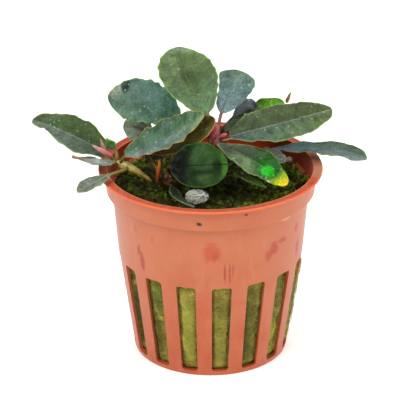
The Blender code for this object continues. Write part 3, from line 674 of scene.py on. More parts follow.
def blade_rings(spec, seed, count, around):
    """The blade as rings round its section, with each point's place for the leaf's finish.

    A ring's point at angle t stands cos t of the way from midrib to margin. The surface is the
    midrib's parabola, raised by the fold times the distance out, by the margin's waves times
    the sixth power of that part, and by a cup that a parabola gives; the midrib lies in a
    groove on top and stands out as a rib below, and side veins are shallow furrows.
    """
    along = BLADE_END * (1 - np.cos(np.linspace(NECK_START, 1.0, count) * math.pi)) / 2
    point, forward = leaf_course(spec, along)
    side = unit(np.cross(forward, unit(spec["faces"])))
    lift = np.cross(side, forward)
    turn = np.radians(spec.get("twist", 0.0)) * (along[:, None] - 0.5)
    side, lift = side * np.cos(turn) + lift * np.sin(turn), lift * np.cos(turn) - side * np.sin(turn)
    angle = np.linspace(0, TAU, around, endpoint=False)
    part = np.cos(angle)[None]
    up = np.sin(angle)[None]
    right = half_width(spec, "right", along, seed)[:, None]
    left = half_width(spec, "left", along, seed + 1)[:, None]
    half = np.where(part > 0, right, left)
    out = np.abs(part)
    off_rib = out * half
    fold = math.radians(spec["fold"])
    u = along[:, None]
    run = u * spec["length"]
    open_part = ease(half, 0.5, 2.0)
    wave = spec.get("wave", 0.18) * np.sin(TAU * spec.get("waves", 3.0) * u + np.where(part > 0, 0.6, 2.9))
    edge_wave = wave + 0.10 * uneven(vectors(run, part * 4), 3.4, seed + 2)
    ripple = spec.get("ripple", 0.0) * np.sin(TAU * spec.get("ripples", 0) * u)
    cup = spec.get("cup", 0.25) * (out - out ** 2) * ease(half, 1.0, 4.0)
    veins = VEIN_DEPTH * np.sin(TAU * (run - VEIN_SLANT * off_rib) / VEIN_SPACING)
    veins = veins * ease(off_rib, 0.4, 1.2) * (1 - out ** 4)
    veins = veins + QUILT_DEPTH * uneven(vectors(run, part * half), 3.6, seed + 5)
    height = off_rib * math.sin(fold) + ripple * part ** 2 + (edge_wave * out ** 6 + cup) * open_part
    height = height + (veins + dents(spec, u, part * half)) * open_part
    groove = -GROOVE_DEPTH * np.exp(-(off_rib / 0.28) ** 2) * open_part * ease(1 - u, 0.0, 0.25)
    rib = RIB_HEIGHT * np.exp(-(off_rib / 0.55) ** 2) * open_part * (1 - 0.8 * u)
    body = BLADE_THICKNESS * open_part + STALK_THICKNESS * (1 - open_part)
    thick = body / 2 * np.sign(up) * np.abs(up) ** (1 - 0.35 * open_part)
    height = height + thick + np.where(up > 0, groove * np.abs(up), -rib * np.abs(up))
    rings = point[:, None] + side[:, None] * (half * part * math.cos(fold))[..., None]
    rings = rings + lift[:, None] * height[..., None]
    sign = np.where(up >= -1e-9, 1.0, -1.0)
    place = vectors(u, half * part, half * (1 - out) * sign + 0.001 * sign)
    return rings, place, point[0], forward[0], side[0]


def dents(spec, along, across):
    """Round hollows and swellings of the blade, each a bell curve at its own place."""
    height = 0.0
    for place, offset, reach, depth in spec.get("dents", ()):
        distance = ((along - place) * spec["length"]) ** 2 + (across - offset) ** 2
        height = height + depth * np.exp(-distance / reach ** 2)
    return height


def stalk_rings(spec, start, forward, side, count, around):
    """The stalk: a circle carried along a cubic Bezier from the stem's skin into the blade."""
    root, out = on_stem(*spec["root"])
    root = root - out * (ROOT_GAP + 0.25)
    bow = STALK_BOW * np.linalg.norm(start - root)
    knots = np.array([root, root + out * bow, start - forward * bow, start])
    part = np.linspace(0, 1, count + 1)[:-1][:, None]
    rest = 1 - part
    middle = rest ** 3 * knots[0] + 3 * rest ** 2 * part * knots[1]
    middle = middle + 3 * rest * part ** 2 * knots[2] + part ** 3 * knots[3]
    steps = np.diff(knots, axis=0)
    heading = unit(rest ** 2 * steps[0] + 2 * rest * part * steps[1] + part ** 2 * steps[2])
    across = unit(side - (heading @ side)[:, None] * heading)
    lift = np.cross(across, heading)
    angle = np.linspace(0, TAU, around, endpoint=False)
    radius = spec.get("stalk", STALK_THICKNESS) / 2 * (1 + 0.25 * (1 - part) ** 3)
    circle = np.cos(angle)[:, None] * across[:, None] + np.sin(angle)[:, None] * lift[:, None]
    rings = middle[:, None] + radius[..., None] * circle
    place = vectors(part - 1, 0 * angle, np.sign(np.sin(angle) + 1e-9) * 0.4)
    return rings, place


def build_leaf(node, spec, number, finish):
    """A leaf in place of its solid: stalk and blade as one closed loft."""
    spec = dict(spec, length=leaf_length(spec))
    around = 72 if spec["length"] > LONG_LEAF else 48
    count = min(120, 40 + int(4 * spec["length"]))
    blade, place, start, forward, side = blade_rings(spec, 100 + 7 * number, count, around)
    stalk, stalk_place = stalk_rings(spec, start, forward, side, 24, around)
    rings = np.concatenate([stalk, blade])[:, ::-1]
    places = np.concatenate([stalk_place, place])[:, ::-1]
    piece = loft(f"{node}_blade", rings, {"leaf_place": places}, finish=finish, slot=spec["slot"])
    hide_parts(node)
    return piece


def build_sheath(node, spec, seed, finish):
    """A sheath: a thin pointed scale whose section is an arch, bowed and ridged along its length.

    At part u of the length and part v across, the arch is 0.55 (1 - v^2) times the depth, the width
    falls to a point as sin(pi (1 + 3u) / 4)^0.8, and the bow is a half sine wave.
    """
    base = np.array(spec["base"], float)
    course = np.array(spec["tip"], float) - base
    side = unit(np.cross(course, unit(spec["faces"])))
    lift = np.cross(side, unit(course))
    u = (1 - np.cos(np.linspace(0.0, 1.0, 44) * math.pi))[:, None] / 2
    angle = np.linspace(0, TAU, 36, endpoint=False)
    part, up = np.cos(angle)[None], np.sin(angle)[None]
    swell = np.sin(math.pi * (1 + 3 * np.minimum(u, 0.9999)) / 4) ** 0.8
    half = np.maximum(spec["width"] / 2 * swell, 0.03)
    depth = spec.get("depth", 0.5) * (1 - 0.7 * u)
    ridges = 0.03 * np.sin(part * 9 + seed) * (1 - u)
    arch = (1 - part ** 2) * depth * 0.55 - depth * 0.25
    height = arch + up * (0.10 + 0.5 * depth * spec.get("solid", 0.0)) * (1 - 0.6 * u) + ridges
    height = height + spec.get("bow", 0.0) * np.sin(math.pi * u) + spec.get("curl", 0.0) * u ** 3
    rings = base + course * u[..., None] + side * (half * part)[..., None] + lift * height[..., None]
    rings = rings + 0.05 * uneven(rings, 1.3, seed)[..., None] * side
    place = {"sheath_place": vectors(u, part, up)[:, ::-1]}
    piece = loft(f"{node}_scale", rings[:, ::-1], place, finish=finish, slot=spec["slot"])
    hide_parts(node)
    return piece


def build_tuft(node, centre, size, threads, seed, film_finish, thread_finish):
    """A crumpled film with loose threads: a ball whose skin falls in between sharp folds.

    With w and v sums of sine waves over the ball, the skin stands 0.3 + 0.58 f + 0.12 g of the way
    out, where f = exp(-(w / 0.5)^2) and g = exp(-(v / 0.3)^2) are the folds; it narrows downwards.
    The film is coloured pale on the folds and dark grey in the hollows between them, as painted light
    and shade.
    A thread is a parabola through the ball, shaken by sums of sine waves and kept within it.
    """
    centre, size = np.array(centre), np.array(size)
    ball = ball_rings(160, 110, 0.03)
    fold = np.exp(-(uneven(ball * (1.0, 1.0, 0.6), 2.3, seed) / 0.5) ** 2)
    crease = np.exp(-(uneven(ball * (1.0, 1.0, 0.5), 1.0, seed + 1) / 0.3) ** 2)
    reach = 0.30 + 0.58 * fold + 0.12 * crease
    narrow = 0.74 + 0.26 * ease(ball[..., 2], -0.9, 0.5)
    rings = centre + ball * reach[..., None] * vectors(narrow, narrow, 1.0) * size
    # Painted light and shade: the film's colour is pale along the folds and dark grey in the hollows between
    # them.
    shade = 0.70 * fold + 0.35 * crease
    film = loft(f"{node}_film", rings, {"shade": shade}, finish=film_finish, slot="white_wool")
    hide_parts(node)
    draw = np.random.default_rng(seed)
    steps = np.linspace(-1, 1, 14)
    start = unit(draw.normal(size=(threads, 3))) * draw.uniform(0.6, 0.95, (threads, 1))
    along = unit(np.cross(start, draw.normal(size=(threads, 3))))
    bend = draw.normal(0, 0.35, (threads, 3))
    paths = start[:, None] + along[:, None] * (steps * 0.6)[:, None] + bend[:, None] * (steps ** 2)[:, None]
    paths = paths + 0.16 * np.stack([uneven(paths, 1.1, seed + k) for k in range(3)], -1)
    far = np.linalg.norm(paths, axis=-1, keepdims=True)
    paths = paths / np.maximum(1, far / 0.97)
    radii = draw.uniform(0.03, 0.06, (threads, 1)) * (1 - 0.55 * steps ** 4)
    strands(
        f"{node}_fibres", centre + paths * size, radii, sides=4,
        attributes={"shade": draw.uniform(0, 1, threads)}, finish=thread_finish, slot="white_wool",
    )


def build_crumb(node, centre, size, seed, finish):
    """A crumb: a ball pushed in and out by 0.14 times a sum of sine waves, as rings from pole to pole."""
    ball = ball_rings(32, 22, 0.08)
    rings = np.array(centre) + ball * np.array(size) * (1 + 0.14 * uneven(ball, 1.4, seed))[..., None]
    piece = loft(f"{node}_ball", rings, finish=finish, slot="white_wool")
    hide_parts(node)
    return piece


def moulded_pot_plastic(settings):
    """Polypropylene, injection moulded: satin, a little cloudy, scuffed on its lip and streaked.

    The cloudiness and the paler edges give the eye a worn nursery pot, not new plastic. The bright
    orange line along the lip's edges is a painted highlight, the inside above the moss is darker red
    as painted shade and wet plastic, and a pinkish patch on the lip's right is a painted reflection.
    """
    made, tree, shader = new_material("Moulded terracotta polypropylene")
    place = put(tree, "ShaderNodeTexCoord").outputs["Object"]
    height = put(tree, "ShaderNodeSeparateXYZ", {0: place}).outputs["Z"]
    flat = put(tree, "ShaderNodeVectorMath", {0: place, 1: (1.0, 1.0, 0.0)}, operation="MULTIPLY")
    radius = put(tree, "ShaderNodeVectorMath", {0: flat.outputs[0]}, operation="LENGTH").outputs["Value"]
    cloud = put(tree, "ShaderNodeTexNoise", {
        "Vector": place, "Scale": scale_of(POT_CLOUD), "Detail": 4.0, "Roughness": 0.6
    })
    flow = put(tree, "ShaderNodeMapping", {"Vector": place, "Scale": (1.0, 1.0, 0.28)})
    streak = put(tree, "ShaderNodeTexNoise", {
        "Vector": flow.outputs[0], "Scale": scale_of(POT_STREAK), "Detail": 3.0
    })
    scuffs = put(tree, "ShaderNodeTexNoise", {
        "Vector": place, "Scale": scale_of(POT_SCUFF), "Detail": 3.0, "Roughness": 0.7
    })
    lowness = put(tree, "ShaderNodeMapRange", {0: height, 1: 30 * MM, 2: 8 * MM})
    wall = put(tree, "ShaderNodeMix", {
        0: lowness.outputs[0], 6: tuple(settings.pot_colour), 7: "#b64a1c"
    }, data_type="RGBA")
    cloudy = put(tree, "ShaderNodeMix", {
        0: put(tree, "ShaderNodeMapRange", {0: cloud.outputs["Fac"], 1: 0.35, 2: 0.68, 4: 0.55}).outputs[0],
        6: wall.outputs[2], 7: "#c4734c",
    }, data_type="RGBA")
    dusty = put(tree, "ShaderNodeMix", {
        0: put(tree, "ShaderNodeMapRange", {0: streak.outputs["Fac"], 1: 0.55, 2: 0.8, 4: 0.25}).outputs[0],
        6: cloudy.outputs[2], 7: "#c98468",
    }, data_type="RGBA")
    marked = marks(tree, place, dusty.outputs[2], POT_SMEARS)
    dull = put(tree, "ShaderNodeMix", {
        0: put(tree, "ShaderNodeMapRange", {0: scuffs.outputs["Fac"], 1: 0.48, 2: 0.64}).outputs[0],
        6: "#a8360c", 7: "#b25030",
    }, data_type="RGBA")
    # Painted highlight: a bright orange line along the lip's outer and inner edges, where light catches and
    # shines through the thin plastic.
    outer = put(tree, "ShaderNodeMapRange", {
        0: radius, 1: (LIP_RADIUS - 0.55) * MM, 2: (LIP_RADIUS - 0.3) * MM
    })
    inner = put(tree, "ShaderNodeMapRange", {
        0: radius, 1: (LIP_INNER_RADIUS + 0.5) * MM, 2: (LIP_INNER_RADIUS + 0.25) * MM
    })
    line = put(tree, "ShaderNodeMath", {0: outer.outputs[0], 1: inner.outputs[0]}, operation="MAXIMUM")
    lip = put(tree, "ShaderNodeMix", {
        0: line.outputs[0], 6: dull.outputs[2], 7: "#dc6428"
    }, data_type="RGBA")
    brim = put(tree, "ShaderNodeMapRange", {
        0: height, 1: (POT_HEIGHT - 0.75) * MM, 2: (POT_HEIGHT - 0.45) * MM
    })
    rim = put(tree, "ShaderNodeMix", {0: brim.outputs[0], 6: marked, 7: lip.outputs[2]}, data_type="RGBA")
    # Painted shade, partly wet plastic: the pot's inside above the moss is coloured darker red where it lies
    # in shadow.
    within = put(tree, "ShaderNodeMath", {
        0: radius, 1: (LIP_INNER_RADIUS + 0.12) * MM
    }, operation="LESS_THAN")
    high = put(tree, "ShaderNodeMath", {0: height, 1: 42.5 * MM}, operation="GREATER_THAN")
    inside = put(tree, "ShaderNodeMath", {0: within.outputs[0], 1: high.outputs[0]}, operation="MULTIPLY")
    shaded_wet_inside = put(tree, "ShaderNodeMix", {
        0: inside.outputs[0], 6: rim.outputs[2], 7: "#b83c0c"
    }, data_type="RGBA")
    # The patch mixed in over the lip here is a painted reflection of the white surroundings.
    tree.links.new(marks(tree, place, shaded_wet_inside.outputs[2], LIP_PAINTED_REFLECTION), shader.inputs["Base Color"])
    gloss = put(tree, "ShaderNodeMapRange", {0: cloud.outputs["Fac"], 3: 0.38, 4: 0.56})
    tree.links.new(gloss.outputs[0], shader.inputs["Roughness"])
    grain = put(tree, "ShaderNodeBump", {
        "Strength": 0.2, "Distance": 0.06 * MM, "Height": scuffs.outputs["Fac"],
    })
    tree.links.new(grain.outputs[0], shader.inputs["Normal"])
    shader.inputs["IOR"].default_value = 1.49
    shader.inputs["Sheen Weight"].default_value = 0.22
    shader.inputs["Sheen Roughness"].default_value = 0.35
    shader.inputs["Subsurface Weight"].default_value = 0.1
    shader.inputs["Subsurface Radius"].default_value = (1.0, 0.35, 0.15)
    shader.inputs["Subsurface Scale"].default_value = 1.0 * MM
    return made


def marks(tree, place, colour, spots):
    """Mix ragged patches of other colours into a surface, each round its own point in the frame."""
    for where, reach, tint, strength in spots:
        centre = put(tree, "ShaderNodeVectorMath", {
            0: place, 1: tuple(value * MM for value in where)
        }, operation="SUBTRACT")
        shape = put(tree, "ShaderNodeVectorMath", {
            0: centre.outputs[0], 1: tuple(1 / (value * MM) for value in reach)
        }, operation="MULTIPLY")
        far = put(tree, "ShaderNodeVectorMath", {0: shape.outputs[0]}, operation="LENGTH")
        rough = put(tree, "ShaderNodeTexNoise", {
            "Vector": place, "Scale": scale_of(SMEAR_EDGE), "Detail": 3.0
        })
        ragged = put(tree, "ShaderNodeMath", {
            0: rough.outputs["Fac"], 1: 1.2, 2: far.outputs["Value"]
        }, operation="MULTIPLY_ADD")
        mask = put(tree, "ShaderNodeMapRange", {0: ragged.outputs[0], 1: 1.7, 2: 1.2, 3: 0.0, 4: strength})
        colour = put(tree, "ShaderNodeMix", {
            0: mask.outputs[0], 6: colour, 7: tint
        }, data_type="RGBA").outputs[2]
    return colour


def mineral_wool():
    """Rock wool, spun mineral fibre soaked in nutrient: matt, clumped, stained olive and brown."""
    made, tree, shader = new_material("Stained rock wool")
    place = put(tree, "ShaderNodeTexCoord").outputs["Object"]
    fibre_way = put(tree, "ShaderNodeMapping", {"Vector": place, "Scale": (1.0, 1.0, 2.6)})
    clump = put(tree, "ShaderNodeTexNoise", {"Vector": place, "Scale": scale_of(WOOL_CLUMP), "Detail": 3.0})
    fibre = put(tree, "ShaderNodeTexNoise", {
        "Vector": fibre_way.outputs[0], "Scale": scale_of(WOOL_THREAD), "Detail": 4.0, "Roughness": 0.7,
        "Distortion": 0.8,
    })
    mixed = put(tree, "ShaderNodeMath", {
        0: clump.outputs["Fac"], 1: 0.6, 2: fibre.outputs["Fac"]
    }, operation="MULTIPLY_ADD")
    tint = put(tree, "ShaderNodeValToRGB", {0: put(tree, "ShaderNodeMapRange", {
        0: mixed.outputs[0], 1: 0.55, 2: 1.05
    }).outputs[0]}, stops=[(0.0, "#625420"), (0.35, "#988a3a"), (0.65, "#bcb650"), (1.0, "#d4ce6a")])
    tree.links.new(marks(tree, place, tint.outputs[0], WOOL_STAINS), shader.inputs["Base Color"])
    bump = put(tree, "ShaderNodeBump", {
        "Strength": 0.8, "Distance": 0.25 * MM, "Height": fibre.outputs["Fac"]
    })
    tree.links.new(bump.outputs[0], shader.inputs["Normal"])
    shader.inputs["Roughness"].default_value = 0.9
    shader.inputs["Specular IOR Level"].default_value = 0.25
    return made


def shaded_fibre(name, stops, roughness, stains=()):
    """Loose fibres or shoots: each has one shade of a range, from an attribute, under any stains."""
    made, tree, shader = new_material(name)
    shade = put(tree, "ShaderNodeAttribute", attribute_name="shade").outputs["Fac"]
    place = put(tree, "ShaderNodeTexCoord").outputs["Object"]
    grain = put(tree, "ShaderNodeTexNoise", {"Vector": place, "Scale": scale_of(FIBRE_SHADE), "Detail": 2.0})
    mixed = put(tree, "ShaderNodeMath", {
        0: grain.outputs["Fac"], 1: 0.35, 2: shade
    }, operation="MULTIPLY_ADD")
    tint = put(tree, "ShaderNodeValToRGB", {0: put(tree, "ShaderNodeMapRange", {
        0: mixed.outputs[0], 1: 0.1, 2: 1.2
    }).outputs[0]}, stops=stops)
    tree.links.new(marks(tree, place, tint.outputs[0], stains), shader.inputs["Base Color"])
    shader.inputs["Roughness"].default_value = roughness
    shader.inputs["Specular IOR Level"].default_value = 0.25
    return made


def moss_ground():
    """The felt under the moss: dead stems, algae and wet peat, near black with green and brown flecks."""
    made, tree, shader = new_material("Wet moss felt")
    place = put(tree, "ShaderNodeTexCoord").outputs["Object"]
    broad = put(tree, "ShaderNodeTexNoise", {"Vector": place, "Scale": scale_of(MOSS_CLUMP), "Detail": 3.0})
    fine = put(tree, "ShaderNodeTexNoise", {
        "Vector": place, "Scale": scale_of(MOSS_GRAIN), "Detail": 4.0, "Roughness": 0.7
    })
    mixed = put(tree, "ShaderNodeMath", {
        0: broad.outputs["Fac"], 1: 0.8, 2: fine.outputs["Fac"]
    }, operation="MULTIPLY_ADD")
    tint = put(tree, "ShaderNodeValToRGB", {0: put(tree, "ShaderNodeMapRange", {
        0: mixed.outputs[0], 1: 0.65, 2: 1.15
    }).outputs[0]}, stops=[(0.0, "#151203"), (0.4, "#2c2707"), (0.7, "#3c460a"), (1.0, "#5c3e10")])
    tree.links.new(tint.outputs[0], shader.inputs["Base Color"])
    bump = put(tree, "ShaderNodeBump", {"Strength": 0.9, "Distance": 0.3 * MM, "Height": fine.outputs["Fac"]})
    tree.links.new(bump.outputs[0], shader.inputs["Normal"])
    shader.inputs["Roughness"].default_value = 0.8
    shader.inputs["Specular IOR Level"].default_value = 0.15
    return made


def leaf_tissue(node, spec, settings):
    """A living leaf: a waxy skin over green tissue, with a groove for its midrib and silvery flecks.

    The colour runs from neck to tip, one half may differ from the other as painted light and shade, the
    margin is a thin clear line, and the skin's gloss is a coat that is smoother than the tissue under it.
    """
    made, tree, shader = new_material(f"Waxy leaf of {node}")
    surface = put(tree, "ShaderNodeAttribute", attribute_name="leaf_place").outputs["Vector"]
    axes = put(tree, "ShaderNodeSeparateXYZ", {0: surface})
    along, across, edge = (axes.outputs[i] for i in range(3))
    place = put(tree, "ShaderNodeTexCoord").outputs["Object"]
    mottle = put(tree, "ShaderNodeTexNoise", {
        "Vector": place, "Scale": scale_of(LEAF_MOTTLE), "Detail": 3.0, "Roughness": 0.55
    }).outputs["Fac"]
    fine = put(tree, "ShaderNodeTexNoise", {
        "Vector": place, "Scale": scale_of(LEAF_SKIN), "Detail": 3.0, "Roughness": 0.65
    }).outputs["Fac"]
    colour = leaf_ground(tree, spec, surface, mottle, fine)
    colour = leaf_grain(tree, spec, place, mottle, colour)
    out = put(tree, "ShaderNodeMath", {0: across}, operation="ABSOLUTE").outputs[0]
    colour = leaf_veins(tree, spec, along, out, colour)
    colour, fleck = leaf_flecks(tree, spec, settings, place, colour)
    rib = put(tree, "ShaderNodeMapRange", {
        0: out, 1: 0.22, 2: 0.06, 4: spec.get("rib_strength", 0.35)
    }, interpolation_type="SMOOTHSTEP")
    colour = put(tree, "ShaderNodeMix", {
        0: rib.outputs[0], 6: colour, 7: spec["rib"]
    }, data_type="RGBA").outputs[2]
    near = put(tree, "ShaderNodeMath", {0: edge}, operation="ABSOLUTE")
    ragged = put(tree, "ShaderNodeMath", {0: fine, 1: -0.28, 2: near.outputs[0]}, operation="MULTIPLY_ADD")
    rim = put(tree, "ShaderNodeMapRange", {
        0: ragged.outputs[0], 1: settings.margin_width, 2: 0.0, 4: spec.get("margin_strength", 0.7)
    })
    colour = put(tree, "ShaderNodeMix", {
        0: rim.outputs[0], 6: colour, 7: spec["margin"]
    }, data_type="RGBA").outputs[2]
    below = put(tree, "ShaderNodeMapRange", {0: edge, 1: 0.02, 2: -0.02, 4: 0.75})
    colour = put(tree, "ShaderNodeMix", {
        0: below.outputs[0], 6: colour, 7: LEAF_UNDERSIDE
    }, data_type="RGBA").outputs[2]
    stem_part = put(tree, "ShaderNodeMapRange", {0: along, 1: 0.06, 2: -0.10})
    stalk = put(tree, "ShaderNodeMix", {0: mottle, 6: spec["stalk_colour"], 7: STALK_SHADE}, data_type="RGBA")
    colour = put(tree, "ShaderNodeMix", {
        0: stem_part.outputs[0], 6: colour, 7: stalk.outputs[2]
    }, data_type="RGBA").outputs[2]
    tree.links.new(colour, shader.inputs["Base Color"])
    skin = put(tree, "ShaderNodeMapRange", {
        0: mottle, 3: settings.leaf_roughness - 0.08, 4: settings.leaf_roughness + 0.14
    })
    tree.links.new(skin.outputs[0], shader.inputs["Roughness"])
    raised = put(tree, "ShaderNodeMath", {0: fleck, 1: 0.8, 2: fine}, operation="MULTIPLY_ADD")
    bump = put(tree, "ShaderNodeBump", {"Strength": 0.8, "Distance": 0.09 * MM, "Height": raised.outputs[0]})
    tree.links.new(bump.outputs[0], shader.inputs["Normal"])
    shader.inputs["Specular IOR Level"].default_value = spec.get("shine", 0.12)
    shader.inputs["Coat Weight"].default_value = spec.get("coat", 0.04)
    shader.inputs["Coat Roughness"].default_value = 0.08
    shader.inputs["Subsurface Weight"].default_value = spec.get("glow", 0.08)
    shader.inputs["Subsurface Radius"].default_value = (0.5, 1.0, 0.2)
    shader.inputs["Subsurface Scale"].default_value = 0.8 * MM
    return made


def leaf_ground(tree, spec, surface, mottle, fine):
    """A leaf's colours from neck to tip, with painted light and shade on one half and its patches over them.
    """
    axes = put(tree, "ShaderNodeSeparateXYZ", {0: surface})
    shifted = put(tree, "ShaderNodeMath", {0: mottle, 1: 0.30, 2: axes.outputs[0]}, operation="MULTIPLY_ADD")
    run = put(tree, "ShaderNodeMapRange", {0: shifted.outputs[0], 1: 0.15, 2: 1.15})
    stops = list(zip((0.05, 0.5, 0.95), spec["colours"]))
    colour = put(tree, "ShaderNodeValToRGB", {0: run.outputs[0]}, stops=stops).outputs[0]
    # Painted light and shade: one half of the leaf is tinted as it looked where light fell and reflected
    # differently on it.
    if "half" in spec:
        side, tint, strength = spec["half"]
        start, end = (-0.6, 0.9) if side == "right" else (0.6, -0.9)
        part = put(tree, "ShaderNodeMapRange", {
            0: axes.outputs[1], 1: start, 2: end, 4: strength
        }, interpolation_type="SMOOTHSTEP")
        colour = put(tree, "ShaderNodeMix", {
            0: part.outputs[0], 6: colour, 7: tint
        }, data_type="RGBA").outputs[2]
    for place, offset, reach, width, tint, strength in spec.get("patches", ()):
        centre = put(tree, "ShaderNodeVectorMath", {
            0: surface, 1: (place, offset, 0.0)
        }, operation="SUBTRACT")
        shape = put(tree, "ShaderNodeVectorMath", {
            0: centre.outputs[0], 1: (1 / reach, 1 / width, 0.0)
        }, operation="MULTIPLY")
        far = put(tree, "ShaderNodeVectorMath", {0: shape.outputs[0]}, operation="LENGTH")
        ragged = put(tree, "ShaderNodeMath", {
            0: fine, 1: 0.35, 2: far.outputs["Value"]
        }, operation="MULTIPLY_ADD")
        mask = put(tree, "ShaderNodeMapRange", {
            0: ragged.outputs[0], 1: 1.2, 2: 0.65, 4: strength
        }, interpolation_type="SMOOTHSTEP")
        colour = put(tree, "ShaderNodeMix", {
            0: mask.outputs[0], 6: colour, 7: tint
        }, data_type="RGBA").outputs[2]
    return colour


def leaf_grain(tree, spec, place, mottle, colour):
    """A leaf's colour made darker and paler in broad mottles and in fine grains."""
    grain = spec.get("grain", 1.0)
    shade = put(tree, "ShaderNodeMapRange", {0: mottle, 1: 0.3, 2: 0.7, 3: 0.66, 4: 1.3})
    grit = put(tree, "ShaderNodeTexNoise", {
        "Vector": place, "Scale": scale_of(LEAF_GRAIN), "Detail": 2.0, "Roughness": 0.7
    })
    speckled = put(tree, "ShaderNodeMapRange", {
        0: grit.outputs["Fac"], 1: 0.3, 2: 0.72, 3: 1 - 0.3 * grain, 4: 1 + 0.36 * grain
    })
    both = put(tree, "ShaderNodeMath", {0: shade.outputs[0], 1: speckled.outputs[0]}, operation="MULTIPLY")
    return put(tree, "ShaderNodeVectorMath", {0: colour, 1: both.outputs[0]}, operation="MULTIPLY").outputs[0]


def leaf_veins(tree, spec, along, out, colour):
    """A leaf's colour, darker along its side veins, which are crests of the blade's own sine wave."""
    slant = put(tree, "ShaderNodeMath", {
        0: out, 1: -VEIN_SLANT / VEIN_SPACING * TAU, 2: 0.0
    }, operation="MULTIPLY_ADD")
    phase = put(tree, "ShaderNodeMath", {
        0: along, 1: leaf_length(spec) / VEIN_SPACING * TAU, 2: slant.outputs[0]
    }, operation="MULTIPLY_ADD")
    vein = put(tree, "ShaderNodeMath", {0: phase.outputs[0]}, operation="SINE")
    veined = put(tree, "ShaderNodeMapRange", {0: vein.outputs[0], 1: 0.55, 2: 1.0, 3: 1.0, 4: 0.86})
    return put(tree, "ShaderNodeVectorMath", {
        0: colour, 1: veined.outputs[0]
    }, operation="MULTIPLY").outputs[0]


def leaf_flecks(tree, spec, settings, place, colour):
    """A leaf's colour with silvery flecks of chance sizes, and how strong the fleck is at each place."""
    cell = put(tree, "ShaderNodeTexVoronoi", {
        "Vector": place, "Scale": scale_of(settings.fleck_spacing), "Randomness": 1.0
    })
    chance = put(tree, "ShaderNodeSeparateColor", {0: cell.outputs["Color"]})
    reach = put(tree, "ShaderNodeMapRange", {0: chance.outputs[0], 1: 0.45, 2: 1.0, 3: 0.0, 4: 0.34})
    inside = put(tree, "ShaderNodeMath", {
        0: reach.outputs[0], 1: cell.outputs["Distance"]
    }, operation="SUBTRACT")
    fleck = put(tree, "ShaderNodeMapRange", {
        0: inside.outputs[0], 1: 0.0, 2: 0.12, 4: spec.get("flecks", 0.45)
    }).outputs[0]
    return put(tree, "ShaderNodeMix", {0: fleck, 6: colour, 7: "#b4c4b6"}, data_type="RGBA").outputs[2], fleck


def stem_tissue(name, stops, roughness):
    """A fleshy stem: smooth skin whose colour changes along its length, streaked and darker at scars."""
    made, tree, shader = new_material(name)
    surface = put(tree, "ShaderNodeAttribute", attribute_name="stem_place").outputs["Vector"]
    axes = put(tree, "ShaderNodeSeparateXYZ", {0: surface})
    place = put(tree, "ShaderNodeTexCoord").outputs["Object"]
    grain = put(tree, "ShaderNodeTexNoise", {
        "Vector": place, "Scale": scale_of(STEM_GRAIN), "Detail": 4.0, "Roughness": 0.65
    })
    run = put(tree, "ShaderNodeMath", {
        0: grain.outputs["Fac"], 1: 0.7, 2: axes.outputs[0]
    }, operation="MULTIPLY_ADD")
    tint = put(tree, "ShaderNodeValToRGB", {0: put(tree, "ShaderNodeMapRange", {
        0: run.outputs[0], 1: 0.2, 2: 1.5
    }).outputs[0]}, stops=stops)
    scar = put(tree, "ShaderNodeMath", {0: axes.outputs[2], 1: 0.4}, operation="MULTIPLY")
    scarred = put(tree, "ShaderNodeMix", {
        0: scar.outputs[0], 6: tint.outputs[0], 7: "#3a2a12"
    }, data_type="RGBA")
    tree.links.new(scarred.outputs[2], shader.inputs["Base Color"])
    bump = put(tree, "ShaderNodeBump", {
        "Strength": 0.6, "Distance": 0.1 * MM, "Height": grain.outputs["Fac"]
    })
    tree.links.new(bump.outputs[0], shader.inputs["Normal"])
    shader.inputs["Roughness"].default_value = roughness
    return made


def sheath_tissue(name, stops, roughness):
    """A sheath: thin tissue that pales from base to tip, mottled, with light passing through it."""
    made, tree, shader = new_material(name)
    surface = put(tree, "ShaderNodeAttribute", attribute_name="sheath_place").outputs["Vector"]
    axes = put(tree, "ShaderNodeSeparateXYZ", {0: surface})
    place = put(tree, "ShaderNodeTexCoord").outputs["Object"]
    grain = put(tree, "ShaderNodeTexNoise", {"Vector": place, "Scale": scale_of(SHEATH_GRAIN), "Detail": 3.0})
    run = put(tree, "ShaderNodeMath", {
        0: grain.outputs["Fac"], 1: 0.4, 2: axes.outputs[0]
    }, operation="MULTIPLY_ADD")
    tint = put(tree, "ShaderNodeValToRGB", {0: put(tree, "ShaderNodeMapRange", {
        0: run.outputs[0], 1: 0.15, 2: 1.25
    }).outputs[0]}, stops=stops)
    tree.links.new(tint.outputs[0], shader.inputs["Base Color"])
    shader.inputs["Roughness"].default_value = roughness
    shader.inputs["Subsurface Weight"].default_value = 0.2
    shader.inputs["Subsurface Radius"].default_value = (1.0, 0.5, 0.3)
    shader.inputs["Subsurface Scale"].default_value = 0.6 * MM
    return made


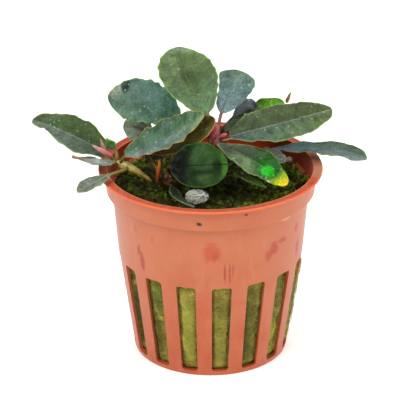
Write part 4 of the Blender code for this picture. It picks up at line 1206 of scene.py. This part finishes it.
# Marks on the pot: place, reach each way (mm), colour, strength
POT_SMEARS = (
    ((0.2, -23.4, 35.8), (2.3, 1.8, 2.9), "#b8441c", 0.75),
    ((1.2, -23.4, 34.9), (1.0, 1.8, 1.3), "#b03a16", 0.6),
    ((-16.5, -16.4, 29.8), (0.7, 1.2, 2.9), "#a03416", 0.9),
    ((-17.3, -15.6, 32.6), (0.45, 1.2, 2.0), "#a03416", 0.75),
    ((15.3, -17.9, 34.4), (1.4, 1.8, 2.0), "#ae3a16", 0.9),
    ((17.2, -16.2, 35.6), (1.8, 1.8, 0.8), "#ae3a16", 0.85),
    ((14.0, -18.9, 32.6), (0.9, 1.8, 1.8), "#ae3a16", 0.85),
    ((3.4, -22.9, 30.2), (0.34, 1.8, 2.9), "#a03c1a", 0.85),
    ((4.6, -22.7, 29.6), (0.30, 1.8, 3.2), "#a03c1a", 0.75),
    ((5.4, -22.6, 30.6), (0.26, 1.8, 2.4), "#a03c1a", 0.65),
    ((21.2, -9.8, 30.8), (0.9, 1.4, 2.9), "#a83614", 0.9),
    ((20.8, -11.5, 36.9), (0.6, 1.4, 1.5), "#a83614", 0.8),
    ((18.4, -15.8, 41.2), (1.9, 1.9, 0.6), "#d89a78", 0.6),
    ((-24.4, -8.8, 45.2), (1.0, 1.6, 1.3), "#d8601c", 0.9),
    ((-23.4, -11.2, 44.0), (0.7, 1.2, 0.6), "#d8601c", 0.8),
    ((-15.4, -18.6, 41.6), (1.1, 1.1, 0.35), "#e0743a", 0.85),
    ((-18.0, -15.4, 38.5), (0.6, 0.9, 1.1), "#b8501e", 0.7),
    ((-14.0, -18.9, 37.5), (0.5, 0.9, 1.2), "#b8501e", 0.6),
    ((-24.4, -11.9, 48.0), (1.2, 1.4, 0.9), "#ee9c54", 0.9),
    ((-21.6, -17.0, 47.9), (1.1, 1.0, 0.8), "#ee9c54", 0.9),
    ((-19.2, -18.8, 48.0), (0.9, 0.8, 0.6), "#ee9c54", 0.8),
    ((-2.8, -25.7, 44.3), (0.85, 0.9, 0.6), "#1c0c08", 1.0),
    ((8.4, -24.5, 46.2), (0.5, 0.8, 0.4), "#3c140a", 0.95),
)
# A painted reflection on the lip's right side: the pinkish-white haze of the white surroundings; place, reach
# each way (mm), colour, strength.
LIP_PAINTED_REFLECTION = (((26.6, 1.0, POT_HEIGHT), (3.0, 10.0, 0.5), "#b8805c", 0.65),)

# Stains on the rock wool behind the slots, in the same way
WOOL_STAINS = (
    ((-18.4, -10.0, 12.0), (3.2, 3.2, 15.0), "#3c3a16", 0.85),
    ((-13.2, -15.0, 10.0), (3.0, 3.0, 13.0), "#5a4a16", 0.8),
    ((-12.0, -16.8, 22.0), (2.4, 2.4, 6.0), "#5c6a2c", 0.7),
    ((-14.2, -14.0, 16.0), (0.42, 0.6, 8.5), "#3faa0c", 0.95),
    ((-5.2, -19.6, 12.0), (2.6, 2.6, 16.0), "#b0b04a", 0.6),
    ((2.6, -20.0, 20.0), (2.6, 2.6, 5.0), "#7a6c34", 0.6),
    ((2.2, -19.0, 6.0), (2.4, 2.4, 5.0), "#8a8c3a", 0.5),
    ((9.6, -18.2, 15.0), (2.8, 2.8, 10.0), "#5c5828", 0.75),
    ((9.0, -17.0, 5.0), (2.4, 2.4, 4.0), "#5a5a2a", 0.6),
    ((16.4, -13.2, 18.0), (2.6, 2.6, 8.0), "#6c6c38", 0.65),
    ((20.6, -6.4, 14.0), (2.6, 2.6, 9.0), "#7c8c48", 0.6),
)

LEAF_UNDERSIDE = "#4e5638"
STALK_SHADE = "#4a3a18"

# Each leaf: the values of its solid, then its look. A patch is a place on the leaf (part of its
# length, mm off the midrib), its reach each way, a colour and a strength. A nick is a side, a
# part of the length, a depth and a reach, and a dent is a place, a reach and a height.
# A leaf's half tint is painted light and shade, and some patches, noted at their leaves, are painted shadow,
# shade and highlight.
LEAVES = {
    "far_left_leaf": dict(
        root=(LEFT_STEM, 0.93, (-0.5, 1.0, 0.0)), slot="olive_leaf",
        neck=(-25.0, 1.6, 50.0), middle=(-33.8, 2.0, 55.2), tip=(-43.5, 3.0, 58.7),
        faces=(0.0, -0.36, 0.93), fold=14.0, twist=-8.0,
        right=(4.0, 5.5, 5.5, 5.0, 4.3), left=(3.5, 5.0, 6.0, 4.0, 4.8),
        nicks=(("left", 0.84, 0.9, 0.02),), wave=0.25, waves=3.5,
        colours=("#41523d", "#51604f", "#5d6c60"), half=("right", "#3b501f", 0.8),
        margin="#8f9a4a", rib="#8a978c", stalk_colour="#8a7c3a"),
    "curled_left_leaf": dict(
        root=(LEFT_STEM, 0.84, (-0.5, -1.0, 0.2)), slot="slate_leaf",
        neck=(-23.3, -3.1, 50.2), middle=(-28.0, -3.6, 50.3), tip=(-33.5, -4.5, 52.5),
        faces=(0.0, 0.1, 1.0), fold=10.0, twist=-15.0,
        right=(1.0, 2.8, 3.0, 3.0, 2.0), left=(1.0, 2.8, 3.2, 3.0, 2.0),
        nicks=(("right", 0.93, 0.9, 0.03),), wave=0.3, waves=2.0,
        colours=("#737e72", "#86918a", "#9a9478"), margin="#a08a58", rib="#8c9686",
        patches=((1.0, 0.0, 0.14, 2.6, "#c8702c", 0.9),), stalk_colour="#8c7a3c"),
    "low_left_leaf": dict(
        root=(LEFT_STEM, 0.5, (-0.5, -1.0, 0.0)), slot="slate_leaf",
        neck=(-24.2, -9.0, 49.6), middle=(-28.1, -12.0, 48.8), tip=(-32.0, -14.0, 47.4),
        faces=(-0.4, -0.4, 0.9), fold=10.0,
        right=(1.2, 1.8, 2.3, 2.6, 2.4), left=(1.2, 2.2, 2.2, 2.6, 1.8),
        colours=("#4d603a", "#61665e", "#697164"), half=("left", "#6c7961", 0.6),
        patches=((1.0, 0.3, 0.07, 1.6, "#8a5426", 0.85),),
        margin="#9a9a72", rib="#a5a68a", stalk_colour="#9a9444"),
    # The upper left leaf's grey patch and dark patch by the fold near its tip are painted sheen and painted
    # shade of that fold.
    "upper_left_leaf": dict(
        root=(RHIZOME, 0.55, (-0.3, 1.0, 0.3)), slot="teal_leaf",
        neck=(-8.0, 8.0, 56.0), middle=(-16.5, 8.5, 61.3), tip=(-25.2, 8.5, 62.5),
        faces=(0.05, -0.78, 0.63), fold=13.0, twist=4.0,
        right=(5.0, 5.9, 5.7, 5.2, 3.5), left=(3.4, 5.0, 5.7, 6.5, 5.0),
        wave=0.35, waves=4.5, dents=((0.86, 2.2, 2.4, -0.7),),
        colours=("#608c74", "#608074", "#65816f"), half=("left", "#3f5a3d", 0.5),
        patches=((0.9, 1.8, 0.12, 3.0, "#8c9a83", 0.9), (0.77, 3.3, 0.07, 3.0, "#1e3028", 0.85)),
        margin="#7a9c50", rib="#5c7c68", scallop=0.18, stalk_colour="#7a7440"),
    "centre_long_leaf": dict(
        root=(LEFT_STEM, 0.72, (0.1, -0.7, 1.0)), slot="teal_leaf",
        neck=(-21.4, -2.8, 51.4), middle=(-10.6, -1.0, 55.8), tip=(-1.5, -1.0, 62.1),
        faces=(-0.13, -0.38, 0.92), fold=18.0, ripple=0.25, ripples=4,
        right=(3.0, 4.0, 4.9, 5.4, 3.2), left=(3.6, 4.7, 5.0, 4.6, 4.4), wave=0.3, waves=5.5,
        colours=("#6a7a74", "#627970", "#79966f"), half=("left", "#335a36", 0.75),
        margin="#b08a2c", rib="#5c7c6c", stalk_colour="#98803c"),
    # The under long leaf's colours are darkened as painted shadow of the long leaf over it, and its greener
    # half is painted light on its lit side.
    "under_long_leaf": dict(
        root=(RHIZOME, 0.05, (-0.7, 0.1, 1.0)), slot="brown_leaf", stalk=1.0,
        neck=(-15.8, 0.2, 51.3), middle=(-6.6, 0.6, 54.7), tip=(1.0, 1.3, 60.1),
        faces=(0.05, -0.36, 0.93), fold=13.0, twist=-8.0,
        right=(2.6, 4.2, 5.1, 4.8, 4.6), left=(2.8, 4.7, 5.0, 4.9, 4.0),
        colours=("#5a3e10", "#624e1c", "#46421c"), half=("right", "#5b591c", 0.45),
        margin="#a88458", rib="#4a4020", stalk_colour="#6a4a20"),
    "top_round_leaf": dict(
        root=(RHIZOME, 0.95, (-1.0, 1.0, 0.0)), slot="olive_leaf",
        neck=(-0.4, 5.0, 59.3), middle=(-5.7, 7.5, 67.8), tip=(-7.7, 9.5, 75.5),
        faces=(0.17, -0.74, 0.65), fold=20.0, twist=20.0,
        right=(4.4, 7.3, 7.3, 7.4, 6.2), left=(4.2, 5.9, 7.0, 7.9, 8.0), wave=0.25, waves=3.0,
        colours=("#6f8f66", "#556a45", "#6c8450"),
        patches=((0.42, 0.5, 0.22, 2.2, "#4a5a34", 0.55), (0.98, 0.0, 0.10, 5.0, "#8ea589", 0.5)),
        margin="#8fb050", rib="#5e7040", scallop=0.14, stalk_colour="#b07a34"),
    "upper_right_leaf": dict(
        root=(RHIZOME, 0.95, (0.1, 1.0, 0.0)), slot="slate_leaf",
        neck=(2.6, 7.5, 58.7), middle=(5.0, 10.5, 64.5), tip=(5.9, 12.5, 68.3),
        faces=(0.26, -0.84, 0.47), fold=16.0,
        right=(2.4, 4.2, 5.1, 6.2, 4.2), left=(3.2, 3.3, 3.5, 4.8, 3.8),
        colours=("#7e9497", "#627e79", "#607662"), patches=((1.0, 0.0, 0.12, 5.0, "#5c7f4c", 0.7),),
        margin="#7c9a66", rib="#66684e", rib_strength=0.5, stalk_colour="#a8746c"),
    "small_back_leaf": dict(
        root=(RHIZOME, 0.8, (0.0, 1.0, 0.0)), slot="slate_leaf",
        neck=(5.6, 10.4, 56.4), middle=(8.9, 12.0, 58.2), tip=(11.3, 13.0, 59.1),
        faces=(0.1, -0.6, 0.8), fold=6.0,
        right=(1.4, 2.2, 2.5, 2.5, 2.2), left=(1.4, 2.2, 2.5, 2.5, 2.2),
        colours=("#545c62", "#6a7278", "#787e86"), half=("right", "#22330c", 0.95),
        margin="#72806a", rib="#707a78", stalk_colour="#5c4a34"),
    "back_green_leaf": dict(
        root=(RHIZOME, 0.62, (0.3, 1.0, 0.0)), slot="fresh_leaf",
        neck=(4.9, 11.5, 54.6), middle=(12.3, 14.0, 56.6), tip=(18.3, 14.5, 58.6),
        faces=(-0.22, -0.32, 0.92), fold=2.0,
        right=(2.2, 3.8, 4.0, 4.0, 3.0), left=(2.4, 2.8, 3.8, 4.0, 2.8), glow=0.2,
        colours=("#2c3a01", "#396501", "#5c9900"), margin="#78a828", rib="#6c9434", stalk_colour="#4c4420"),
    "right_large_leaf": dict(
        root=(RHIZOME, 0.93, (1.0, 0.5, 0.0)), slot="olive_leaf",
        neck=(3.9, 2.5, 54.4), middle=(16.8, 3.0, 57.9), tip=(29.6, 4.0, 61.2),
        faces=(0.0, -0.4, 0.91), fold=6.0, twist=-9.0,
        right=(3.0, 4.7, 6.2, 6.5, 7.0), left=(5.0, 6.3, 5.8, 5.1, 4.4), wave=0.25, waves=3.5,
        colours=("#475a57", "#4a6243", "#506335"), half=("left", "#424e2b", 0.85),
        patches=((0.02, 2.4, 0.06, 2.4, "#a39aa6", 0.6),),
        margin="#8a9a62", rib="#8f8c8a", rib_strength=0.5, stalk_colour="#6a3c30"),
    "far_right_leaf": dict(
        root=(RHIZOME, 0.66, (1.0, 0.2, -0.4)), slot="slate_leaf",
        neck=(15.1, 5.5, 49.8), middle=(27.6, 5.0, 50.4), tip=(38.3, 2.5, 48.8),
        faces=(-0.17, -0.07, 0.98), fold=5.0, twist=-12.0,
        right=(1.8, 3.4, 3.3, 3.5, 3.8), left=(2.0, 3.1, 3.1, 4.0, 2.8), wave=0.25, waves=3.0,
        colours=("#3d5c66", "#476351", "#3e5136"), half=("right", "#6c777a", 0.75),
        margin="#7c9a52", rib="#74888c", stalk_colour="#5a4a2a"),
    # The front round leaf's near-black neck and left part are painted shadow of the leaf over it, and its
    # paler and darker green bands are painted light and shade on its bowl.
    "front_round_leaf": dict(
        root=(RHIZOME, 0.2, (0.0, -1.0, 0.6)), slot="dark_leaf",
        neck=(-10.0, -9.5, 51.9), middle=(-2.8, -10.0, 52.6), tip=(4.2, -9.5, 52.5),
        faces=(0.0, -0.6, 0.8), fold=3.0,
        right=(4.2, 6.1, 6.4, 6.5, 5.5), left=(3.8, 6.0, 6.1, 6.1, 4.3),
        patches=(
            (0.55, -1.8, 0.26, 4.6, "#34502a", 0.75), (0.62, 3.9, 0.22, 1.5, "#30481a", 0.7),
            (0.80, 0.9, 0.10, 3.6, "#14260a", 0.85), (0.60, 2.0, 0.26, 0.8, "#16260c", 0.85),
            (0.10, 0.0, 0.26, 9.0, "#060a04", 0.97), (0.94, 0.0, 0.07, 5.5, "#3c6c1e", 0.8),
        ),
        colours=("#080c04", "#1a3210", "#2a4e16"), cup=-0.9, scallop=0.03,
        flecks=0.0, grain=0.35, shine=0.08, coat=0.0,
        margin="#3d6f20", margin_strength=0.55, rib="#0a1206", rib_strength=0.9, stalk_colour="#3c2c14"),
    "front_right_leaf": dict(
        root=(RHIZOME, 0.92, (0.0, -1.0, 0.0)), slot="fresh_leaf",
        neck=(0.9, -1.7, 54.6), middle=(10.6, -6.0, 51.8), tip=(18.1, -11.0, 47.5),
        faces=(0.27, -0.41, 0.87), fold=7.0, twist=-9.0,
        right=(1.0, 4.0, 4.8, 4.2, 3.6), left=(3.0, 3.1, 4.7, 4.1, 4.8), wave=0.25, waves=3.0,
        colours=("#333f2c", "#27421e", "#2f6612"), half=("right", "#60724f", 0.75),
        patches=(
            (0.08, 1.5, 0.24, 5.0, "#343e2d", 0.85), (0.66, -1.8, 0.24, 3.8, "#1d4c0c", 0.9),
            (0.95, 0.6, 0.19, 6.0, "#86a804", 0.97), (0.68, 0.2, 0.22, 5.0, "#0e5406", 0.97),
            (0.71, 0.7, 0.11, 2.4, "#0eae06", 1.0),
            # The first patch below, small and cream near the margin, is a painted highlight, a crescent of
            # light.
            (0.86, 3.0, 0.08, 0.45, "#eae6ba", 0.8), (1.03, 0.2, 0.16, 5.5, "#dcc004", 0.98),
            (0.99, 2.4, 0.03, 0.9, "#d0761c", 0.9),
        ),
        margin="#8a9a4c", margin_strength=0.5, rib="#58684a", stalk_colour="#7a3c34"),
    "right_grey_leaf": dict(
        root=(RHIZOME, 0.6, (1.0, -0.8, -0.2)), slot="slate_leaf",
        neck=(10.5, 1.5, 50.6), middle=(14.5, 0.5, 50.6), tip=(18.3, -1.0, 49.4),
        faces=(0.0, -0.35, 0.93), fold=6.0,
        right=(1.2, 2.2, 2.5, 2.4, 2.0), left=(1.2, 2.2, 2.5, 2.4, 2.0),
        colours=("#5c6352", "#747c70", "#5c6852"), margin="#8a8e7c", rib="#9c9c98", stalk_colour="#5a4a2c"),
    "back_dark_leaf": dict(
        root=(RHIZOME, 0.78, (1.0, 0.9, 0.0)), slot="dark_leaf",
        neck=(3.5, 5.0, 54.6), middle=(6.0, 7.2, 55.6), tip=(8.6, 8.4, 55.6),
        faces=(0.0, -0.4, 0.9), fold=6.0,
        right=(1.0, 1.7, 1.9, 1.8, 1.4), left=(1.0, 1.7, 1.9, 1.8, 1.4),
        colours=("#2a2c12", "#34482c", "#42462a"), margin="#4c5430", rib="#3c4428", stalk_colour="#3c2c1a"),
    # The back left leaf's dark strip along its middle is painted shadow of a fold, and its darker neck end is
    # painted shade.
    "back_left_leaf": dict(
        root=(RHIZOME, 0.4, (-0.3, 1.0, 0.2)), slot="olive_leaf",
        neck=(-14.5, 10.0, 51.5), middle=(-18.0, 10.5, 53.2), tip=(-21.6, 10.5, 53.8),
        faces=(0.0, -0.6, 0.8), fold=8.0,
        right=(2.2, 3.6, 3.9, 3.9, 3.4), left=(2.2, 3.6, 3.9, 3.9, 3.4),
        colours=("#525c48", "#7f8c78", "#7a876c"), half=("right", "#8c9880", 0.6),
        patches=((0.45, 0.0, 0.3, 1.0, "#3c4a34", 0.6),),
        margin="#7f8f60", rib="#727e66", stalk_colour="#5c5430"),
    "front_slim_leaf": dict(
        root=(RHIZOME, 0.55, (0.8, -1.0, 0.0)), slot="dark_leaf",
        neck=(4.0, -6.0, 50.5), middle=(8.5, -8.8, 49.2), tip=(13.3, -11.6, 47.3),
        faces=(0.2, -0.5, 0.85), fold=8.0,
        right=(0.8, 1.3, 1.5, 1.4, 1.0), left=(0.8, 1.3, 1.5, 1.4, 1.0),
        colours=("#20260e", "#2b3115", "#325f14"), margin="#4c5628", rib="#3c441f", stalk_colour="#3a2c16"),
    # The front low leaf's near-black colours are partly its own dark underside and partly painted shadow of
    # the round leaf over it.
    "front_low_leaf": dict(
        root=(RHIZOME, 0.1, (0.3, -1.0, -0.1)), slot="dark_leaf",
        neck=(-9.4, -8.2, 46.3), middle=(-8.0, -13.3, 45.8), tip=(-3.9, -18.2, 45.2),
        faces=(0.0, 0.05, 1.0), fold=6.0,
        right=(0.9, 1.2, 1.3, 1.1, 0.9), left=(0.8, 1.4, 1.2, 0.6, 0.5),
        colours=("#1a2412", "#27341c", "#2c3824"),
        margin="#9aa090", margin_strength=0.3, rib="#33402a", stalk_colour="#3a2814"),
    "sprout_leaf": dict(
        root=(LEFT_STEM, 0.88, (0.0, 0.1, 1.0)), slot="fresh_leaf", stalk=1.0,
        neck=(-23.4, 0.5, 52.3), middle=(-24.2, 0.4, 53.6), tip=(-25.3, 0.2, 55.1),
        faces=(-0.5, -0.7, 0.5), fold=14.0,
        right=(0.9, 1.3, 1.4, 1.2, 0.9), left=(0.9, 1.3, 1.4, 1.2, 0.9), glow=0.2,
        colours=("#7a6030", "#44704c", "#4f8040"), margin="#8cc838", rib="#5f9050", stalk_colour="#b47c48"),
}

SHEATHS = {
    "pink_sheath_front": dict(
        slot="pink_sheath", base=(-23.9, -2.3, 51.6), tip=(-29.0, -2.6, 54.8), width=1.2,
        faces=(0.2, -0.9, 0.4), bow=-0.3, curl=0.3),
    "pink_sheath_back": dict(
        slot="pink_sheath", base=(-25.3, -0.9, 52.1), tip=(-26.7, -1.2, 55.9), width=0.9,
        faces=(0.6, -0.8, 0.2), bow=-0.4),
    "red_sheath": dict(
        slot="crimson_sheath", base=(-0.3, -0.4, 55.4), tip=(1.8, 0.5, 58.6), width=2.4,
        faces=(0.0, -1.0, 0.2)),
    "red_sheath_right": dict(
        slot="crimson_sheath", base=(2.1, -0.2, 55.6), tip=(4.0, 0.1, 56.5), width=1.2,
        faces=(0.0, -1.0, 0.2)),
    "papery_sheath": dict(
        slot="brown_sheath", base=(2.65, -0.65, 54.8), tip=(5.5, 0.6, 55.1), width=0.7,
        faces=(0.0, -1.0, 0.3), depth=0.36),
    "orange_shoot": dict(
        slot="orange_shoot", base=(-12.8, -7.2, 47.4), tip=(-12.2, -6.6, 52.8), width=1.2,
        faces=(0.0, -1.0, 0.0), depth=1.0, solid=0.8),
    "brown_tip": dict(
        slot="brown_sheath", base=(18.8, 14.0, 59.0), tip=(19.9, 14.2, 61.8), width=0.9,
        faces=(0.0, -1.0, 0.0), depth=0.7, solid=0.8),
}

# Each stem: its course, the number of its scars and their swelling, and its finish
STEMS = {
    "rhizome": dict(
        course=RHIZOME, scars=7, swell=0.10, slot="rhizome",
        finish=(
            "Rhizome skin", ((0.0, "#4a3a18"), (0.4, "#5c2c18"), (0.75, "#7a342e"), (1.0, "#a0403c")), 0.42,
        )),
    "left_stem": dict(
        course=LEFT_STEM, scars=3, swell=0.02, slot="pale_stem",
        finish=(
            "Pale stem skin",
            ((0.0, "#7a4418"), (0.2, "#94762a"), (0.45, "#a89c46"), (0.75, "#b8ae5a"), (1.0, "#aea65a")),
            0.35,
        )),
}

# Finish of the sheaths in each slot: name, colours from base to tip, roughness
SHEATH_FINISHES = {
    "pink_sheath": ("Dry pink sheath", ((0.0, "#a8433a"), (0.45, "#c07a70"), (1.0, "#d8b8ac")), 0.5),
    "crimson_sheath": (
        "Fleshy crimson sheath", ((0.0, "#6a201c"), (0.45, "#ac3a42"), (1.0, "#cf7072")), 0.32,
    ),
    "brown_sheath": ("Papery brown sheath", ((0.0, "#5c3c20"), (0.6, "#8c6a44"), (1.0, "#a8895c")), 0.6),
    "orange_shoot": ("Closed orange shoot", ((0.0, "#4a200c"), (0.3, "#9c4414"), (1.0, "#c4661e")), 0.38),
}

# Finishes with a shade for each fibre, shoot or fold: name, colours from dark to pale, roughness
FIBRE_FINISH = (
    "Loose rock wool fibre", ((0.0, "#6c6228"), (0.35, "#968e3e"), (0.7, "#b4b050"), (1.0, "#ccc86c")), 0.8,
)
SHOOT_FINISH = (
    "Wet moss leaf",
    ((0.0, "#150f02"), (0.3, "#2a2404"), (0.52, "#3c5206"), (0.75, "#64860e"), (1.0, "#a4b83c")), 0.6,
)
# Painted light and shade: the dark stops colour the hollows between the film's folds and the pale stops its
# folds.
FILM_PAINTED_SHADE_FINISH = (
    "Wet white film with painted fold shade", ((0.0, "#3a4036"), (0.2, "#7c8476"), (0.45, "#c0c6ba"), (1.0, "#f4f6f0")), 0.25,
)
THREAD_FINISH = (
    "White wool fibre", ((0.0, "#a0a599"), (0.3, "#c0c5b8"), (0.7, "#e0e4d8"), (1.0, "#f6f8f2")), 0.4,
)
CRUMB_FINISH = ("White crumb", ((0.0, "#d0d0c4"), (1.0, "#f0f0e6")), 0.7)


def floor_finish(colour):
    """Matt white paint with a weak glow of its own, which keeps the floor as even as a studio sweep."""
    made, tree, shader = new_material("Matt painted floor")
    shader.inputs["Base Color"].default_value = colour
    shader.inputs["Roughness"].default_value = 0.9
    shader.inputs["Specular IOR Level"].default_value = 0.1
    shader.inputs["Emission Color"].default_value = colour
    shader.inputs["Emission Strength"].default_value = 0.42
    return made


def area_light(name, stand, power):
    """A square area light at its stand's place, with its side, aimed at the plant."""
    place, size = stand
    data = bpy.data.lights.new(name, "AREA")
    data.size = size * MM
    data.energy = power
    light = bpy.data.objects.new(name, data)
    light.location = Vector(place) * MM
    aim = Vector(LIGHT_AIM) * MM - light.location
    light.rotation_euler = aim.to_track_quat("-Z", "Y").to_euler()
    bpy.context.scene.collection.objects.link(light)


def colour_property(name, description, value):
    """A colour in linear red, green, blue and alpha, shown as a swatch."""
    return bpy.props.FloatVectorProperty(
        name=name, description=description, subtype="COLOR", size=4, min=0.0, max=1.0, default=linear(value)
    )


class BucephalandraSettings(bpy.types.PropertyGroup):
    """Sizes, counts and colours of the plant and its pot that can be changed."""

    pot_colour: colour_property("Pot colour", "Colour of the pot's plastic", "#bc6036")
    leaf_roughness: bpy.props.FloatProperty(
        name="Leaf roughness", description="Roughness of the leaves' skin", default=0.30, min=0.1, max=0.8,
        subtype="FACTOR",
    )
    margin_width: bpy.props.FloatProperty(
        name="Margin width", description="Width of the pale line along a leaf's margin, in millimetres",
        default=0.24, min=0.05, max=1.5,
    )
    fleck_spacing: bpy.props.FloatProperty(
        name="Fleck spacing", description="Distance between silvery flecks on a leaf, in millimetres",
        default=0.95, min=0.3, max=4.0,
    )
    moss_shoots: bpy.props.IntProperty(
        name="Moss shoots", description="Number of shoots that stand up from the moss", default=2500,
        min=10, max=2600,
    )
    wool_fibres: bpy.props.IntProperty(
        name="Wool fibres", description="Number of loose fibres round the rock wool", default=3800,
        min=10, max=3900,
    )


class StageSettings(bpy.types.PropertyGroup):
    """The studio round the plant."""

    floor_colour: colour_property("Floor colour", "Colour of the floor", "#f4f4f2")
    world_strength: bpy.props.FloatProperty(
        name="World strength", description="Brightness of the white surroundings", default=0.14,
        min=0.0, max=4.0,
    )
    key_power: bpy.props.FloatProperty(
        name="Key light", description="Power of the main light", default=3.6, min=0.0, max=50.0, unit="POWER"
    )
    fill_power: bpy.props.FloatProperty(
        name="Fill light", description="Power of the light from the right", default=2.1, min=0.0, max=50.0,
        unit="POWER",
    )
    top_power: bpy.props.FloatProperty(
        name="Top light", description="Power of the light from above and behind", default=2.6, min=0.0,
        max=50.0, unit="POWER",
    )


class BUCEPHALANDRA_OT_add_pot(bpy.types.Operator):
    """Add the net pot"""

    bl_idname = "bucephalandra.add_pot"
    bl_label = "Net pot"

    def execute(self, context):
        build_pot(moulded_pot_plastic(context.scene.bucephalandra))
        return {"FINISHED"}


class BUCEPHALANDRA_OT_add_wool(bpy.types.Operator):
    """Add the plug of rock wool and its loose fibres"""

    bl_idname = "bucephalandra.add_wool"
    bl_label = "Rock wool"

    def execute(self, context):
        loose = shaded_fibre(*FIBRE_FINISH, WOOL_STAINS)
        build_wool(mineral_wool(), loose, context.scene.bucephalandra.wool_fibres)
        return {"FINISHED"}


class BUCEPHALANDRA_OT_add_moss(bpy.types.Operator):
    """Add the moss: its felt and its shoots"""

    bl_idname = "bucephalandra.add_moss"
    bl_label = "Moss"

    def execute(self, context):
        build_moss(moss_ground(), shaded_fibre(*SHOOT_FINISH), context.scene.bucephalandra.moss_shoots)
        return {"FINISHED"}


class BUCEPHALANDRA_OT_add_stems(bpy.types.Operator):
    """Add the rhizome and the left stem"""

    bl_idname = "bucephalandra.add_stems"
    bl_label = "Stems"

    def execute(self, context):
        for node, spec in STEMS.items():
            build_stem(node, spec, stem_tissue(*spec["finish"]))
        return {"FINISHED"}


class BUCEPHALANDRA_OT_add_leaves(bpy.types.Operator):
    """Add every leaf"""

    bl_idname = "bucephalandra.add_leaves"
    bl_label = "Leaves"

    def execute(self, context):
        for number, (node, spec) in enumerate(LEAVES.items()):
            build_leaf(node, spec, number, leaf_tissue(node, spec, context.scene.bucephalandra))
        return {"FINISHED"}


class BUCEPHALANDRA_OT_add_sheaths(bpy.types.Operator):
    """Add the sheaths, the closed shoot and the spike behind"""

    bl_idname = "bucephalandra.add_sheaths"
    bl_label = "Sheaths"

    def execute(self, context):
        finishes = {slot: sheath_tissue(*values) for slot, values in SHEATH_FINISHES.items()}
        for number, (node, spec) in enumerate(SHEATHS.items()):
            build_sheath(node, spec, 300 + number, finishes[spec["slot"]])
        return {"FINISHED"}


class BUCEPHALANDRA_OT_add_white_wool(bpy.types.Operator):
    """Add the white tuft at the front and the crumb on the moss"""

    bl_idname = "bucephalandra.add_white_wool"
    bl_label = "White wool"

    def execute(self, context):
        film, thread = shaded_fibre(*FILM_PAINTED_SHADE_FINISH), shaded_fibre(*THREAD_FINISH)
        build_tuft("wool_tuft", TUFT_CENTRE, TUFT_SIZE, TUFT_THREADS, 401, film, thread)
        build_crumb("white_crumb", CRUMB_CENTRE, CRUMB_SIZE, 402, shaded_fibre(*CRUMB_FINISH))
        return {"FINISHED"}


class BUCEPHALANDRA_OT_add_stage(bpy.types.Operator):
    """Add the floor, the lights, the white surroundings and the camera"""

    bl_idname = "bucephalandra.add_stage"
    bl_label = "Stage"

    def execute(self, context):
        scene = context.scene
        settings = scene.bucephalandra_stage
        corners = np.array([(-1, -1, 0), (1, -1, 0), (1, 1, 0), (-1, 1, 0)]) * FLOOR_REACH
        mesh = bpy.data.meshes.new("floor")
        mesh.from_pydata((corners * MM).tolist(), [], [(0, 1, 2, 3)])
        mesh.materials.append(floor_finish(settings.floor_colour))
        floor = bpy.data.objects.new("floor", mesh)
        scene.collection.objects.link(floor)
        world = bpy.data.worlds.new("White surroundings")
        world.use_nodes = True
        background = world.node_tree.nodes["Background"]
        background.inputs["Color"].default_value = linear("#ffffff")
        background.inputs["Strength"].default_value = settings.world_strength
        scene.world = world
        area_light("Key light", KEY_LIGHT, settings.key_power)
        area_light("Fill light", FILL_LIGHT, settings.fill_power)
        area_light("Top light", TOP_LIGHT, settings.top_power)
        data = bpy.data.cameras.new("camera")
        data.sensor_width = SENSOR_WIDTH
        data.lens = SENSOR_WIDTH * PIXELS_PER_MM * CAMERA_DISTANCE / FRAME_PIXELS
        data.clip_start, data.clip_end = 10 * MM, 20000 * MM
        tilt = math.radians(CAMERA_ELEVATION)
        away = Vector((0.0, -math.cos(tilt), math.sin(tilt))) * CAMERA_DISTANCE
        camera = bpy.data.objects.new("camera", data)
        camera.location = (Vector(CAMERA_TARGET) + away) * MM
        camera.rotation_euler = (math.pi / 2 - tilt, 0.0, 0.0)
        scene.collection.objects.link(camera)
        scene.camera = camera
        scene.view_settings.view_transform = "Standard"
        return {"FINISHED"}


OPERATORS = (
    BUCEPHALANDRA_OT_add_pot,
    BUCEPHALANDRA_OT_add_wool,
    BUCEPHALANDRA_OT_add_moss,
    BUCEPHALANDRA_OT_add_stems,
    BUCEPHALANDRA_OT_add_leaves,
    BUCEPHALANDRA_OT_add_sheaths,
    BUCEPHALANDRA_OT_add_white_wool,
    BUCEPHALANDRA_OT_add_stage,
)


class BUCEPHALANDRA_PT_panel(bpy.types.Panel):
    """Lists the settings and the pieces that can be added"""

    bl_idname = "BUCEPHALANDRA_PT_panel"
    bl_label = "Bucephalandra"
    bl_space_type = "VIEW_3D"
    bl_region_type = "UI"
    bl_category = "Bucephalandra"

    def draw(self, context):
        for settings in (context.scene.bucephalandra, context.scene.bucephalandra_stage):
            for key in settings.__annotations__:
                self.layout.prop(settings, key)
        for operator in OPERATORS:
            self.layout.operator(operator.bl_idname)


CLASSES = (BucephalandraSettings, StageSettings, *OPERATORS, BUCEPHALANDRA_PT_panel)


def register():
    for cls in CLASSES:
        bpy.utils.register_class(cls)
    bpy.types.Scene.bucephalandra = bpy.props.PointerProperty(type=BucephalandraSettings)
    bpy.types.Scene.bucephalandra_stage = bpy.props.PointerProperty(type=StageSettings)


def unregister():
    del bpy.types.Scene.bucephalandra_stage
    del bpy.types.Scene.bucephalandra
    for cls in reversed(CLASSES):
        bpy.utils.unregister_class(cls)


def main():
    """Build every piece and the stage in order."""
    register()
    bpy.ops.bucephalandra.add_pot()
    bpy.ops.bucephalandra.add_wool()
    bpy.ops.bucephalandra.add_moss()
    bpy.ops.bucephalandra.add_stems()
    bpy.ops.bucephalandra.add_leaves()
    bpy.ops.bucephalandra.add_sheaths()
    bpy.ops.bucephalandra.add_white_wool()
    bpy.ops.bucephalandra.add_stage()


if __name__ == "__main__":
    main()
